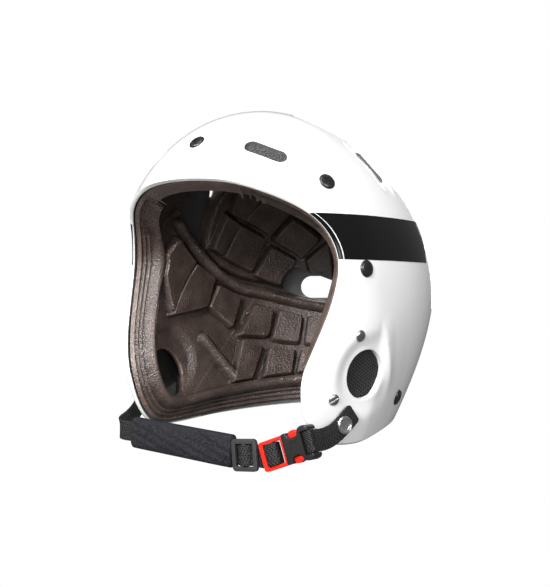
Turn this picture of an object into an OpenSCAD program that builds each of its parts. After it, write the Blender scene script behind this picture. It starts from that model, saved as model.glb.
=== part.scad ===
// Water helmet: moulded shell with two ear covers, foam liner, ear ports and chin strap.
// +Z up, the face looks toward -Y, the wearer's left is +X. Origin: centre of the head cavity.

/* [Shell] */
// Half the width of the shell over the temples
half_width = 110; // [106:1:114]
// From the origin to the front of the shell
front_length = 108.5; // [105:0.5:112]
// From the origin to the back of the shell
rear_length = 156; // [150:1:160]
// From the origin to the crown
crown_height = 131; // [127:1:135]
// How far the side walls run down before they would close
skirt_length = 198; // [190:1:210]
// Roundness of the front half seen from above (2 is an ellipse)
front_power = 2.04; // [2:0.01:2.2]
// Roundness of the rear half seen from above
rear_power = 2.28; // [2.1:0.01:2.4]
// Roundness of the side view
side_power = 2.02; // [2:0.01:2.15]
// How much the nape tucks in
nape_tuck = 0.27; // [0.2:0.01:0.3]
// Shell wall thickness
shell_wall = 3.5; // [3:0.5:4]

/* [Liner] */
// Gap between the shell and the liner
liner_gap = 1.2; // [0.8:0.1:1.4]
// Thickness of the foam pads
pad_thickness = 20; // [14:1:22]
// Thickness of the foam where it thins out at the shell's edge
lip_thickness = 6; // [5:0.5:8]

/* [Ear ports] */
// Diameter of the ear mesh
ear_mesh_d = 40; // [38:1:42]
// Diameter of the port in the shell
ear_port_d = 35; // [33:1:36]

/* [Vents] */
// Length of the front slots
slot_length = 32; // [28:1:34]
// Width of the front slots
slot_width = 11; // [9:1:12]

/* [Fasteners] */
// Diameter of the black liner plugs
plug_d = 12; // [11:0.5:13]
// Diameter of the silver ear screws
screw_d = 8; // [7:0.5:9]
// Diameter of the strap rivet heads
rivet_d = 12; // [11:0.5:13]

/* [Chin strap] */
// Width of the webbing
webbing_w = 15; // [14:0.5:15]
// Thickness of the webbing
webbing_t = 1.6; // [1.4:0.1:1.8]
// Length of the chin pad sleeve
chin_pad_l = 101; // [98:1:101]
// Width of the chin pad sleeve
chin_pad_w = 23.5; // [23:0.5:25]

/* [Hidden] */
$fn = 48;

// Colours
shell_white = [0.93, 0.93, 0.92];
gloss_black = [0.03, 0.03, 0.03];
foam_brown = [0.24, 0.20, 0.19];
webbing_black = [0.08, 0.08, 0.08];
buckle_red = [0.80, 0.10, 0.08];
silver = [0.75, 0.75, 0.77];

// Surface of the shell: a rounded body that is star-shaped about the origin
function shell_radius(d) =
    let (across = d.y < 0 ? front_power : rear_power,
         length = d.y < 0 ? front_length : rear_length,
         height = d.z > 0 ? crown_height : skirt_length,
         plan = pow(abs(d.x / half_width), across) + pow(abs(d.y / length), across),
         radius = pow(pow(plan, side_power / across) + pow(abs(d.z / height), side_power), -1 / side_power),
         tuck = pow(max(-d.z - 0.05, 0), 1.5) * max(d.y, 0))
    radius * (1 - nape_tuck * tuck);
function unit(v) = v / norm(v);
function level(p) = norm(p) / shell_radius(unit(p));
function normal(d) =
    let (p = shell_radius(d) * d, e = 0.4)
    unit([level(p + [e, 0, 0]) - level(p - [e, 0, 0]),
          level(p + [0, e, 0]) - level(p - [0, e, 0]),
          level(p + [0, 0, e]) - level(p - [0, 0, e])]);
// Point at a depth under the outer surface
function under(d, depth) = shell_radius(d) * d - depth * normal(d);

// Edge of the shell in side view, as [y, z]: brow, temple, cheek, ear cover, nape
edge_points = [[-118, 78], [-90, 73], [-73, 63], [-52, 47], [-42, 31], [-39, 12], [-44.5, -13],
               [-54, -41], [-59, -64], [-54, -87], [-42, -103], [-27, -110], [0, -111], [40, -107],
               [86, -103], [130, -99], [170, -96], [210, -92]];
edge_steps = 4;
// Catmull-Rom curve through the edge points
function spline(a, b, c, d, t) =
    0.5 * (2 * b + (c - a) * t + (2 * a - 5 * b + 4 * c - d) * t * t + (3 * b - a - 3 * c + d) * t * t * t);
edge_curve = [for (i = [1 : len(edge_points) - 3], s = [0 : edge_steps - 1])
    spline(edge_points[i - 1], edge_points[i], edge_points[i + 1], edge_points[i + 2], s / edge_steps)];
// The edge is star-shaped about this point of the side view
edge_centre = [30, 30];
function edge_angle(p) = let (a = atan2(p[1] - edge_centre[1], p[0] - edge_centre[0])) a < 90 ? a + 360 : a;
edge_table = concat([[90, 900], [edge_angle(edge_curve[0]) - 6, 900]],
                    [for (p = edge_curve) [edge_angle(p), norm(p - edge_centre)]],
                    [[400, 900]]);
function inside_edge(p, margin) =
    norm([p.y, p.z] - edge_centre) + margin < lookup(edge_angle([p.y, p.z]), edge_table);

// Polar grid about a pole on the rear crown: turn 0 is the left side, 90 the back, -90 the brow
pole_tilt = 45;
pole = [0, sin(pole_tilt), cos(pole_tilt)];
pole_down = [0, cos(pole_tilt), -sin(pole_tilt)];
function polar(turn, spread) =
    pole * cos(spread) + ([cos(turn), 0, 0] + pole_down * sin(turn)) * sin(spread);
function edge_spread(turn, margin, low = 20, high = 170, n = 13) =
    n == 0 ? low : let (mid = (low + high) / 2, d = polar(turn, mid))
    inside_edge(shell_radius(d) * d, margin) ? edge_spread(turn, margin, mid, high, n - 1)
                                             : edge_spread(turn, margin, low, mid, n - 1);

shell_turns = 72;
shell_rings = 18;

// Closed cap between two depths, from the pole out to the edge
module cap(depth_out, depth_in, margin) {
    spreads = [for (i = [0 : shell_turns - 1]) edge_spread(i * 360 / shell_turns, margin)];
    function layer(depth) = [for (k = [1 : shell_rings], i = [0 : shell_turns - 1])
        under(polar(i * 360 / shell_turns, spreads[i] * k / shell_rings), depth)];
    count = shell_turns * shell_rings;
    points = concat(layer(depth_out), layer(depth_in), [under(pole, depth_out), under(pole, depth_in)]);
    function at(side, k, i) = side * count + k * shell_turns + i % shell_turns;
    last = shell_rings - 1;
    faces = concat(
        [for (k = [0 : last - 1], i = [0 : shell_turns - 1], h = [0, 1])
            h == 0 ? [at(0, k, i), at(0, k + 1, i + 1), at(0, k + 1, i)]
                   : [at(0, k, i), at(0, k, i + 1), at(0, k + 1, i + 1)]],
        [for (k = [0 : last - 1], i = [0 : shell_turns - 1], h = [0, 1])
            h == 0 ? [at(1, k, i), at(1, k + 1, i), at(1, k + 1, i + 1)]
                   : [at(1, k, i), at(1, k + 1, i + 1), at(1, k, i + 1)]],
        [for (i = [0 : shell_turns - 1]) [2 * count, at(0, 0, i + 1), at(0, 0, i)]],
        [for (i = [0 : shell_turns - 1]) [2 * count + 1, at(1, 0, i), at(1, 0, i + 1)]],
        [for (i = [0 : shell_turns - 1], h = [0, 1])
            h == 0 ? [at(0, last, i), at(0, last, i + 1), at(1, last, i + 1)]
                   : [at(0, last, i), at(1, last, i + 1), at(1, last, i)]]);
    polyhedron(points, faces);
}

// Foam pad over part of the polar grid, between two spreads in degrees; it thins out toward the shell's edge
module slab(turn_from, turn_to, near, far, turns, rings) {
    function turn(i) = turn_from + (turn_to - turn_from) * i / turns;
    edges = [for (i = [0 : turns]) edge_spread(turn(i), pad_margin)];
    function spread(k, i) = near + (min(far, edges[i]) - near) * k / rings;
    function rise(t) = t * t * (3 - 2 * t);
    function fullness(k, i) = rise(min(1, (edges[i] - spread(k, i)) / lip_spread));
    function pad_point(k, i, side) =
        under(polar(turn(i), spread(k, i)),
              side == 0 ? liner_out
                        : liner_out + lip_thickness + (pad_thickness - lip_thickness) * fullness(k, i));
    points = [for (side = [0, 1], k = [0 : rings], i = [0 : turns]) pad_point(k, i, side)];
    count = (turns + 1) * (rings + 1);
    function at(side, k, i) = side * count + k * (turns + 1) + i;
    function quad(a, b, c, d) = [[a, b, c], [a, c, d]];
    faces = concat(
        [for (k = [0 : rings - 1], i = [0 : turns - 1],
              f = quad(at(0, k, i), at(0, k, i + 1), at(0, k + 1, i + 1), at(0, k + 1, i))) f],
        [for (k = [0 : rings - 1], i = [0 : turns - 1],
              f = quad(at(1, k, i), at(1, k + 1, i), at(1, k + 1, i + 1), at(1, k, i + 1))) f],
        [for (i = [0 : turns - 1],
              f = quad(at(0, 0, i), at(1, 0, i), at(1, 0, i + 1), at(0, 0, i + 1))) f],
        [for (i = [0 : turns - 1],
              f = quad(at(0, rings, i), at(0, rings, i + 1), at(1, rings, i + 1), at(1, rings, i))) f],
        [for (k = [0 : rings - 1],
              f = quad(at(0, k, 0), at(0, k + 1, 0), at(1, k + 1, 0), at(1, k, 0))) f],
        [for (k = [0 : rings - 1],
              f = quad(at(0, k, turns), at(1, k, turns), at(1, k + 1, turns), at(0, k + 1, turns))) f]);
    polyhedron(points, faces);
}

// Places on the shell, as rough points that are carried out to the surface
front_plug = [0, -70, 101];
temple_plug = [87, -33.5, 70];
side_plug = [108, -17, 11];
nape_plug = [93, 49, -84];
back_plug = [0, 150, 22];
front_slot = [53.5, -59, 90.6];
scoop_vent = [81, 30, 86];
back_vent = [50, 138, 0];
ear_port = [104, -12, -62];
upper_screw = [106, -22.4, -34.3];
lower_screw = [94.8, -37.1, -77];
mirrored = [1, -1];
function other_side(p, s) = [s * p.x, p.y, p.z];
plug_places = concat([front_plug, back_plug],
                     [for (s = mirrored, p = [temple_plug, side_plug, nape_plug]) other_side(p, s)]);
screw_places = [for (s = mirrored, p = [upper_screw, lower_screw]) other_side(p, s)];

// Puts its children on the surface, +Z along the outward normal; spin turns them about it
module on_shell(place, spin = 0) {
    d = unit(place);
    n = normal(d);
    translate(shell_radius(d) * d)
        rotate([0, acos(n.z), atan2(n.y, n.x)])
            rotate([0, 0, spin])
                children();
}

// Round-ended bar, lying along X, centred
module stadium(length, width, height) {
    straight = length - width;
    linear_extrude(height = height, center = true) {
        square([straight, width], center = true);
        for (s = mirrored)
            translate([s * straight / 2, 0])
                circle(d = width);
    }
}

plug_bore = 6.4;
screw_bore = 4.2;
rivet_stem = 4;
cut_depth = 80;
slot_spin = 62;
scoop_spin = 28;
scoop_length = 42;
scoop_width = 10;
back_vent_length = 34;
back_vent_width = 20;

module vent_cutters(extra) {
    for (s = mirrored) {
        on_shell(other_side(front_slot, s), s * slot_spin)
            stadium(slot_length + extra, slot_width + extra, cut_depth);
        on_shell(other_side(scoop_vent, s), s * scoop_spin)
            stadium(scoop_length + extra, scoop_width + extra, cut_depth);
        on_shell(other_side(back_vent, s), 90)
            stadium(back_vent_length + extra, back_vent_width + extra, cut_depth);
    }
}

// Chin strap: both rivets share one line along X, the strap's swing axis
rivet_y = -31.5;
rivet_z = -94.2;
strap_x = 99.3;
module rivet_bores(side, d) {
    translate([side * (strap_x - 15), rivet_y, rivet_z])
        rotate([0, 90, 0])
            cylinder(h = 40, d = d, center = true);
}

module outer_shell() {
    color(shell_white)
        difference() {
            cap(0, shell_wall, 0);
            for (p = plug_places)
                on_shell(p)
                    cylinder(h = 20, d = plug_bore, center = true);
            for (p = screw_places)
                on_shell(p)
                    cylinder(h = 20, d = screw_bore, center = true);
            for (s = mirrored) {
                on_shell(other_side(ear_port, s))
                    cylinder(h = 30, d = ear_port_d, center = true);
                rivet_bores(s, rivet_stem + 0.2);
            }
            vent_cutters(0);
        }
}

stripe_t = 0.3;
stripe_top = 48;
stripe_bottom = 17;
stripe_end = 75;
stripe_steps = 20;
// Faceted skins stand this far off the faceted shell
stripe_lift = 0.15;
// Printed side stripe, a skin on the shell between two heights, from near the temple edge toward the back
module stripe(side) {
    front_margin = 3;
    rows = 4;
    function y_front(z) = -43 + front_margin - (z > 31 ? (z - 31) * 0.75 : 0);
    function skin_point(i, k, depth) =
        let (z = stripe_bottom + (stripe_top - stripe_bottom) * k / rows,
             share = i / stripe_steps,
             y = y_front(z) * (1 - share) + stripe_end * share,
             x = side_x(y, z),
             d = unit([side * x, y, z]))
        under(d, depth);
    function layer(depth) = [for (k = [0 : rows], i = [0 : stripe_steps]) skin_point(i, k, depth)];
    count = (stripe_steps + 1) * (rows + 1);
    function at(s, k, i) = s * count + k * (stripe_steps + 1) + i;
    function quad(a, b, c, d) = side > 0 ? [[a, b, c], [a, c, d]] : [[a, c, b], [a, d, c]];
    faces = concat(
        [for (k = [0 : rows - 1], i = [0 : stripe_steps - 1],
              f = quad(at(0, k, i), at(0, k + 1, i), at(0, k + 1, i + 1), at(0, k, i + 1))) f],
        [for (k = [0 : rows - 1], i = [0 : stripe_steps - 1],
              f = quad(at(1, k, i), at(1, k, i + 1), at(1, k + 1, i + 1), at(1, k + 1, i))) f],
        [for (i = [0 : stripe_steps - 1],
              f = quad(at(0, 0, i), at(0, 0, i + 1), at(1, 0, i + 1), at(1, 0, i))) f],
        [for (i = [0 : stripe_steps - 1],
              f = quad(at(0, rows, i), at(1, rows, i), at(1, rows, i + 1), at(0, rows, i + 1))) f],
        [for (k = [0 : rows - 1],
              f = quad(at(0, k, 0), at(1, k, 0), at(1, k + 1, 0), at(0, k + 1, 0))) f],
        [for (k = [0 : rows - 1],
              f = quad(at(0, k, stripe_steps), at(0, k + 1, stripe_steps),
                       at(1, k + 1, stripe_steps), at(1, k, stripe_steps))) f]);
    color(gloss_black)
        polyhedron(concat(layer(-stripe_t - stripe_lift), layer(-stripe_lift)), faces);
}
// Half width of the shell at a point of the side view
function side_x(y, z, low = 5, high = 130, n = 14) =
    n == 0 ? low : let (mid = (low + high) / 2)
    level([mid, y, z]) < 1 ? side_x(y, z, mid, high, n - 1) : side_x(y, z, low, mid, n - 1);

module stripe_left() { stripe(1); }
module stripe_right() { stripe(-1); }

// Foam screen behind a front slot
screen_t = 2;
screen_gap = 2;
screen_rim = 2.2;
module vent_screen(side) {
    color(webbing_black)
        on_shell(other_side(front_slot, side), side * slot_spin)
            translate([0, 0, -shell_wall - screen_gap - screen_t / 2])
                stadium(slot_length + screen_rim, slot_width + screen_rim, screen_t);
}
module vent_screen_left() { vent_screen(1); }
module vent_screen_right() { vent_screen(-1); }

// Ear mesh: a disc of punched hexagonal holes, clamped behind the port
mesh_t = 1;
mesh_depth = 7.2;
mesh_pitch = 3.4;
mesh_hole = 2.6;
mesh_rows = 5;
module ear_mesh(side) {
    color(webbing_black)
        on_shell(other_side(ear_port, side))
            translate([0, 0, -mesh_depth])
                linear_extrude(height = mesh_t)
                    difference() {
                        circle(d = ear_mesh_d);
                        for (i = [-mesh_rows : mesh_rows], j = [-mesh_rows : mesh_rows]) {
                            spot = [(i + j / 2) * mesh_pitch, j * mesh_pitch * sin(60)];
                            if (norm(spot) < ear_port_d / 2 - 1)
                                translate(spot)
                                    rotate(30)
                                        circle(d = mesh_hole, $fn = 6);
                        }
                    }
}
module ear_mesh_left() { ear_mesh(1); }
module ear_mesh_right() { ear_mesh(-1); }

ring_t = 2;
ring_overlap = 4;
module ear_ring(side) {
    color(gloss_black)
        on_shell(other_side(ear_port, side))
            translate([0, 0, -mesh_depth - ring_t])
                difference() {
                    cylinder(h = ring_t, d = ear_mesh_d + ring_overlap);
                    translate([0, 0, -1])
                        cylinder(h = ring_t + 2, d = ear_port_d);
                }
}
module ear_ring_left() { ear_ring(1); }
module ear_ring_right() { ear_ring(-1); }

// Liner plug: low round head with a cross recess, on a stem into its socket
plug_head = 1.6;
plug_stem = 13;
socket_d = 10;
socket_l = 10;
module liner_plugs() {
    color(gloss_black)
        for (p = plug_places)
            on_shell(p)
                difference() {
                    union() {
                        translate([0, 0, 0.3])
                            cylinder(h = plug_head, d = plug_d);
                        translate([0, 0, 0.3 - plug_stem])
                            cylinder(h = plug_stem, d = plug_bore - 0.4);
                    }
                    for (a = [0, 90])
                        rotate([0, 0, a])
                            translate([0, 0, plug_head])
                                cube([6, 1.2, 1.2], center = true);
                }
}
module plug_sockets() {
    color(webbing_black)
        for (p = plug_places)
            on_shell(p)
                translate([0, 0, -shell_wall - 0.6 - socket_l])
                    difference() {
                        cylinder(h = socket_l, d = socket_d);
                        translate([0, 0, 1])
                            cylinder(h = socket_l, d = plug_bore - 0.3);
                    }
}

// Ear screw: domed slotted head and its barrel nut
screw_head = 1.4;
screw_l = 9;
module ear_screws() {
    color(silver)
        for (p = screw_places)
            on_shell(p)
                difference() {
                    union() {
                        translate([0, 0, 0.2])
                            cylinder(h = screw_head * 0.5, d = screw_d);
                        translate([0, 0, 0.2 + screw_head * 0.5])
                            cylinder(h = screw_head * 0.5, d1 = screw_d, d2 = screw_d - 2);
                        translate([0, 0, 0.2 - screw_l])
                            cylinder(h = screw_l, d = screw_bore - 0.4);
                    }
                    translate([0, 0, 0.2 + screw_head])
                        cube([screw_d - 2, 1, 1], center = true);
                }
}
barrel_l = 5;
module screw_barrels() {
    color(silver)
        for (p = screw_places)
            on_shell(p)
                translate([0, 0, -shell_wall - 0.8 - barrel_l])
                    difference() {
                        cylinder(h = barrel_l, d = 7);
                        translate([0, 0, -1])
                            cylinder(h = barrel_l + 2, d = screw_bore - 0.3);
                    }
}

// Strap rivet along X: head, shoulder that stands the strap off the shell, stem through the wall
rivet_head = 2;
rivet_l = 15.6;
shoulder_l = 4;
module strap_rivet(side) {
    color(silver)
        translate([side * strap_x, rivet_y, rivet_z])
            rotate([0, side * 90, 0]) {
                translate([0, 0, webbing_t / 2 + 0.15])
                    cylinder(h = rivet_head * 0.5, d = rivet_d);
                translate([0, 0, webbing_t / 2 + 0.15 + rivet_head * 0.5])
                    cylinder(h = rivet_head * 0.5, d1 = rivet_d, d2 = rivet_d - 3);
                translate([0, 0, -rivet_l])
                    cylinder(h = rivet_l + webbing_t / 2 + 0.5, d = rivet_stem);
                translate([0, 0, -webbing_t / 2 - shoulder_l - 0.2])
                    cylinder(h = shoulder_l, d = 9);
            }
}
module strap_rivet_left() { strap_rivet(1); }
module strap_rivet_right() { strap_rivet(-1); }
washer_t = 1.2;
washer_x = 83.9;
module rivet_washers() {
    color(silver)
        for (s = mirrored)
            translate([s * washer_x, rivet_y, rivet_z])
                rotate([0, s * 90, 0])
                    difference() {
                        cylinder(h = washer_t, d = 10, center = true);
                        cylinder(h = washer_t + 1, d = rivet_stem, center = true);
                    }
}

// Foam pads: a crown group inside a ring about the pole, and brow, ear and rear pads below it
liner_out = shell_wall + liner_gap;
pad_margin = 1;
lip_spread = 11;
crown_spread = 57;
band_spread = 59;
inner_spread = 5;
pad_vent_room = 3;
temple_turn = -31;
nape_turn = 37;
module pad_pockets() {
    for (p = plug_places)
        on_shell(p)
            translate([0, 0, -shell_wall - socket_l - 1.2])
                cylinder(h = socket_l + 8, d = socket_d + 1);
    vent_cutters(pad_vent_room);
}
module brow_pad() {
    color(foam_brown)
        difference() {
            slab(temple_turn - 1 - 2 * (90 + temple_turn - 1), temple_turn - 1, band_spread, 180, 28, 7);
            pad_pockets();
        }
}
module crown_pad_front() {
    color(foam_brown)
        difference() {
            slab(-135, -45, inner_spread, crown_spread, 16, 7);
            pad_pockets();
        }
}
module crown_pad(side) {
    color(foam_brown)
        difference() {
            slab(side > 0 ? -5 : 91, side > 0 ? 89 : 185, inner_spread, crown_spread, 16, 7);
            pad_pockets();
        }
}
module crown_pad_left() { crown_pad(1); }
module crown_pad_right() { crown_pad(-1); }
module ear_pad(side) {
    color(foam_brown)
        difference() {
            slab(side > 0 ? temple_turn : 180 - nape_turn, side > 0 ? nape_turn : 180 - temple_turn,
                 band_spread, 180, 18, 10);
            on_shell(other_side(ear_port, side))
                cylinder(h = cut_depth, d = ear_mesh_d + ring_overlap + 1, center = true);
            for (p = screw_places)
                on_shell(p)
                    translate([0, 0, -shell_wall - barrel_l - 4])
                        cylinder(h = barrel_l + 8, d = 8);
            translate([side * (strap_x - 15), rivet_y, rivet_z])
                rotate([0, 90, 0])
                    cylinder(h = 12, d = 12, center = true);
            pad_pockets();
        }
}
module ear_pad_left() { ear_pad(1); }
module ear_pad_right() { ear_pad(-1); }
module rear_pad() {
    color(foam_brown)
        difference() {
            slab(nape_turn + 1, 179 - nape_turn, band_spread, 180, 26, 7);
            pad_pockets();
        }
}

// Flat webbing swept along a route; each stop is [centre, width direction]
module ribbon(stops, width, thickness) {
    last = len(stops) - 1;
    function along(i) = unit(stops[min(i + 1, last)][0] - stops[max(i - 1, 0)][0]);
    function across(i) = let (a = along(i), w = stops[i][1]) unit(w - a * (w * a));
    function ring(i) =
        let (c = stops[i][0], w = across(i) * width / 2, n = cross(along(i), across(i)) * thickness / 2)
        [c + w + n, c - w + n, c - w - n, c + w - n];
    points = [for (i = [0 : last], p = ring(i)) p];
    faces = concat(
        [[0, 1, 2], [0, 2, 3]],
        [for (i = [0 : last - 1], j = [0 : 3], h = [0, 1])
            let (a = 4 * i + j, b = 4 * i + (j + 1) % 4)
            h == 0 ? [a, a + 4, b + 4] : [a, b + 4, b]],
        [[4 * last, 4 * last + 2, 4 * last + 1], [4 * last, 4 * last + 3, 4 * last + 2]]);
    polyhedron(points, faces);
}
strap_tip = 12;
run_y = -57.5;
swing_down = unit([0, -0.76, -0.65]);
swing_across = unit([0, -0.65, 0.76]);
upright = [0, 0, 1];
tip_stop = [0, rivet_y, rivet_z] - strap_tip * swing_down;
module rivet_hole(side) {
    translate([side * strap_x, rivet_y, rivet_z])
        rotate([0, 90, 0])
            cylinder(h = 8, d = rivet_stem + 0.1, center = true);
}

// Side-release buckle: local X runs along the strap toward its body, Y through its thickness, Z across
buckle_at = [70.3, run_y, -111.1];
buckle_slope = 20;
function buckle_spot(x, y) = buckle_at + [x * cos(buckle_slope), y, x * sin(buckle_slope)];
buckle_across = [-sin(buckle_slope), 0, cos(buckle_slope)];
// Gap between the webbing's middle and the middle of a plate it lies on
front_lay = -3.4;
back_lay = 3.6;

module strap_left() {
    color(webbing_black)
        difference() {
            ribbon([[[strap_x, tip_stop.y, tip_stop.z], swing_across],
                    [[strap_x, rivet_y - 8, rivet_z - 5.6], swing_across],
                    [[strap_x, rivet_y - 14, rivet_z - 7.8], [0, -0.3, 0.95]],
                    [[strap_x - 0.6, rivet_y - 20, rivet_z - 8.4], [0, -0.1, 1]],
                    [[strap_x - 1.8, rivet_y - 25.4, rivet_z - 8.2], upright],
                    [buckle_spot(26.4, front_lay), buckle_across],
                    [buckle_spot(23.2, front_lay), buckle_across],
                    [buckle_spot(21, -2.9), buckle_across],
                    [buckle_spot(20.5, -1.2), buckle_across],
                    [buckle_spot(20.4, 1.6), buckle_across]], webbing_w, webbing_t);
            rivet_hole(1);
        }
}
pad_end_x = -77.2;
pad_end_z = -111.5;
module strap_right() {
    color(webbing_black)
        difference() {
            ribbon([[[-strap_x, tip_stop.y, tip_stop.z], swing_across],
                    [[-strap_x, rivet_y - 8, rivet_z - 5.6], swing_across],
                    [[-strap_x - 0.8, rivet_y - 14, rivet_z - 9.4], [0, -0.5, 0.86]],
                    [[-strap_x - 1.2, rivet_y - 19, rivet_z - 12.6], [0, -0.4, 0.9]],
                    [[-strap_x + 1.6, rivet_y - 23.6, rivet_z - 15.2], upright],
                    [[-strap_x + 7, run_y, rivet_z - 16.4], upright],
                    [[pad_end_x - 4, run_y, pad_end_z + 0.2], upright],
                    [[pad_end_x + 45, run_y, pad_end_z - 2.2], upright]], webbing_w, webbing_t);
            rivet_hole(-1);
        }
}

body_from = 2.4;
body_to = 25.5;
collar_to = 6.9;
notch_to = 16.9;
body_w = 22;
body_t = 9.6;
collar_w = 20.8;
waist_w = 11.6;
tongue_w = 3.6;
tongue_to = 15;
pocket_t = 5;
pocket_w = 19.2;
strap_slot = [19.2, 22.4];
bar_t = 4;
module in_buckle() {
    translate(buckle_at)
        rotate([0, -buckle_slope, 0])
            children();
}
module rounded_bar(length, width, thickness, radius) {
    rotate([90, 0, 90])
        linear_extrude(height = length) {
            square([thickness - 2 * radius, width], center = true);
            square([thickness, width - 2 * radius], center = true);
            for (a = mirrored, b = mirrored)
                translate([a * (thickness / 2 - radius), b * (width / 2 - radius)])
                    circle(r = radius);
        }
}
// Female half: a collar, a waist open at the sides for the prongs, and a wide end with the strap's bar
module buckle_body() {
    color(webbing_black)
        in_buckle()
            difference() {
                union() {
                    translate([body_from, 0, 0])
                        rounded_bar(collar_to - body_from, collar_w, body_t, 2);
                    translate([collar_to - 1, 0, 0])
                        rounded_bar(notch_to - collar_to + 2, waist_w, body_t, 2);
                    translate([notch_to, 0, 0])
                        rounded_bar(body_to - notch_to, body_w, body_t, 3);
                }
                translate([body_from - 1, -pocket_t / 2, -pocket_w / 2])
                    cube([notch_to - body_from + 1, pocket_t, pocket_w]);
                translate([strap_slot[0], -body_t, -webbing_w / 2 - 0.5])
                    cube([strap_slot[1] - strap_slot[0], 2 * body_t, webbing_w + 1]);
                for (s = mirrored)
                    translate([(strap_slot[0] + body_to) / 2 + 2, s * (bar_t / 2 + 5), 0])
                        cube([body_to - strap_slot[0] + 4, 10, webbing_w + 1], center = true);
            }
}
frame_from = -20.5;
frame_to = 2;
frame_w = 20.4;
frame_t = 4.4;
windows = [[-17.2, -13.4], [-8.6, -1]];
module buckle_frame() {
    color(buckle_red)
        in_buckle()
            difference() {
                union() {
                    translate([frame_from, -frame_t / 2, -frame_w / 2])
                        cube([frame_to - frame_from, frame_t, frame_w]);
                    translate([frame_to - 1, -frame_t / 2, -tongue_w / 2])
                        cube([tongue_to - frame_to + 1, frame_t, tongue_w]);
                }
                for (w = windows)
                    translate([w[0], -frame_t, -webbing_w / 2 - 0.4])
                        cube([w[1] - w[0], 2 * frame_t, webbing_w + 0.8]);
            }
}
prong_t = 4.2;
prong_inner = 6.4;
prong_outer = 9.2;
button_outer = 10.6;
module prong(s) {
    color(buckle_red)
        in_buckle()
            rotate([90, 0, 0])
                linear_extrude(height = prong_t, center = true)
                    polygon([for (p = [[frame_to + 0.1, prong_inner], [frame_to + 0.1, prong_outer - 0.4],
                                       [7.3, prong_outer], [7.3, button_outer], [13, button_outer],
                                       [16, prong_outer], [16.5, prong_inner + 0.6], [15, prong_inner]])
                             [p[0], s * p[1]]]);
}
module prong_upper() { prong(1); }
module prong_lower() { prong(-1); }

// Webbing that weaves over the slider's middle bar and turns round the frame's middle bar, its tail behind
module frame_webbing() {
    color(webbing_black)
        ribbon([[[-24, run_y, -114.1], upright],
                [[22, run_y, -116.4], upright],
                [[slider_at.x - 6.8, run_y, slider_at.z - 0.5], slider_across],
                [[slider_at.x - 2.4, run_y - 4.9, slider_at.z - 0.2], slider_across],
                [[slider_at.x + 2.4, run_y - 4.9, slider_at.z + 0.2], slider_across],
                [[slider_at.x + 6.8, run_y, slider_at.z + 0.3], slider_across],
                [[slider_at.x + 10.6, run_y + 0.4, slider_at.z], slider_across],
                [buckle_spot(-21.6, back_lay), buckle_across],
                [buckle_spot(-16.6, back_lay), buckle_across],
                [buckle_spot(-14, -back_lay), buckle_across],
                [buckle_spot(-8, -back_lay), buckle_across],
                [buckle_spot(-6.2, -2.7), buckle_across],
                [buckle_spot(-5.6, 0), buckle_across],
                [buckle_spot(-6.4, 2.6), buckle_across],
                [buckle_spot(-8.6, 4.1), buckle_across],
                [buckle_spot(-13, 5.5), buckle_across],
                [buckle_spot(-20.7, 5.8), buckle_across],
                [[slider_at.x + 9, run_y + 5.4, slider_at.z - 0.4], slider_across],
                [[slider_at.x - 7, run_y + 5.2, slider_at.z - 1], slider_across]], webbing_w, webbing_t);
}
slider_at = [36.4, run_y - 2.5, -117.5];
slider_slope = 5;
slider_across = [-sin(slider_slope), 0, cos(slider_slope)];
slider_l = 21.6;
slider_w = 21.6;
slider_t = 2.4;
slider_corner = 3;
slider_bar = 3;
module strap_slider() {
    color([0.2, 0.2, 0.21])
        translate(slider_at)
            rotate([0, -slider_slope, 0])
                difference() {
                    rotate([90, 0, 0])
                        linear_extrude(height = slider_t, center = true) {
                            square([slider_l - 2 * slider_corner, slider_w], center = true);
                            square([slider_l, slider_w - 2 * slider_corner], center = true);
                            for (a = mirrored, b = mirrored)
                                translate([a * (slider_l / 2 - slider_corner),
                                           b * (slider_w / 2 - slider_corner)])
                                    circle(r = slider_corner);
                        }
                    for (s = mirrored)
                        translate([s * (slider_l - slider_bar) / 4, 0, 0])
                            cube([(slider_l - 3 * slider_bar) / 2, slider_t + 1, webbing_w + 0.8],
                                 center = true);
                }
}
chin_pad_t = 9;
pad_slope = 2.8;
module chin_pad() {
    color([0.1, 0.1, 0.11])
        translate([pad_end_x, run_y, pad_end_z])
            rotate([0, pad_slope, 0])
                difference() {
                    rounded_bar(chin_pad_l, chin_pad_w, chin_pad_t, 3.5);
                    translate([-1, -webbing_t, -webbing_w / 2 - 0.6])
                        cube([chin_pad_l + 2, 2 * webbing_t, webbing_w + 1.2]);
                }
}

outer_shell();
stripe_left();
stripe_right();
vent_screen_left();
vent_screen_right();
ear_mesh_left();
ear_mesh_right();
ear_ring_left();
ear_ring_right();
liner_plugs();
plug_sockets();
ear_screws();
screw_barrels();
strap_rivet_left();
strap_rivet_right();
rivet_washers();
brow_pad();
crown_pad_front();
crown_pad_left();
crown_pad_right();
ear_pad_left();
ear_pad_right();
rear_pad();
strap_left();
strap_right();
buckle_body();
buckle_frame();
prong_upper();
prong_lower();
frame_webbing();
strap_slider();
chin_pad();
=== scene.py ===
import math

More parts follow.
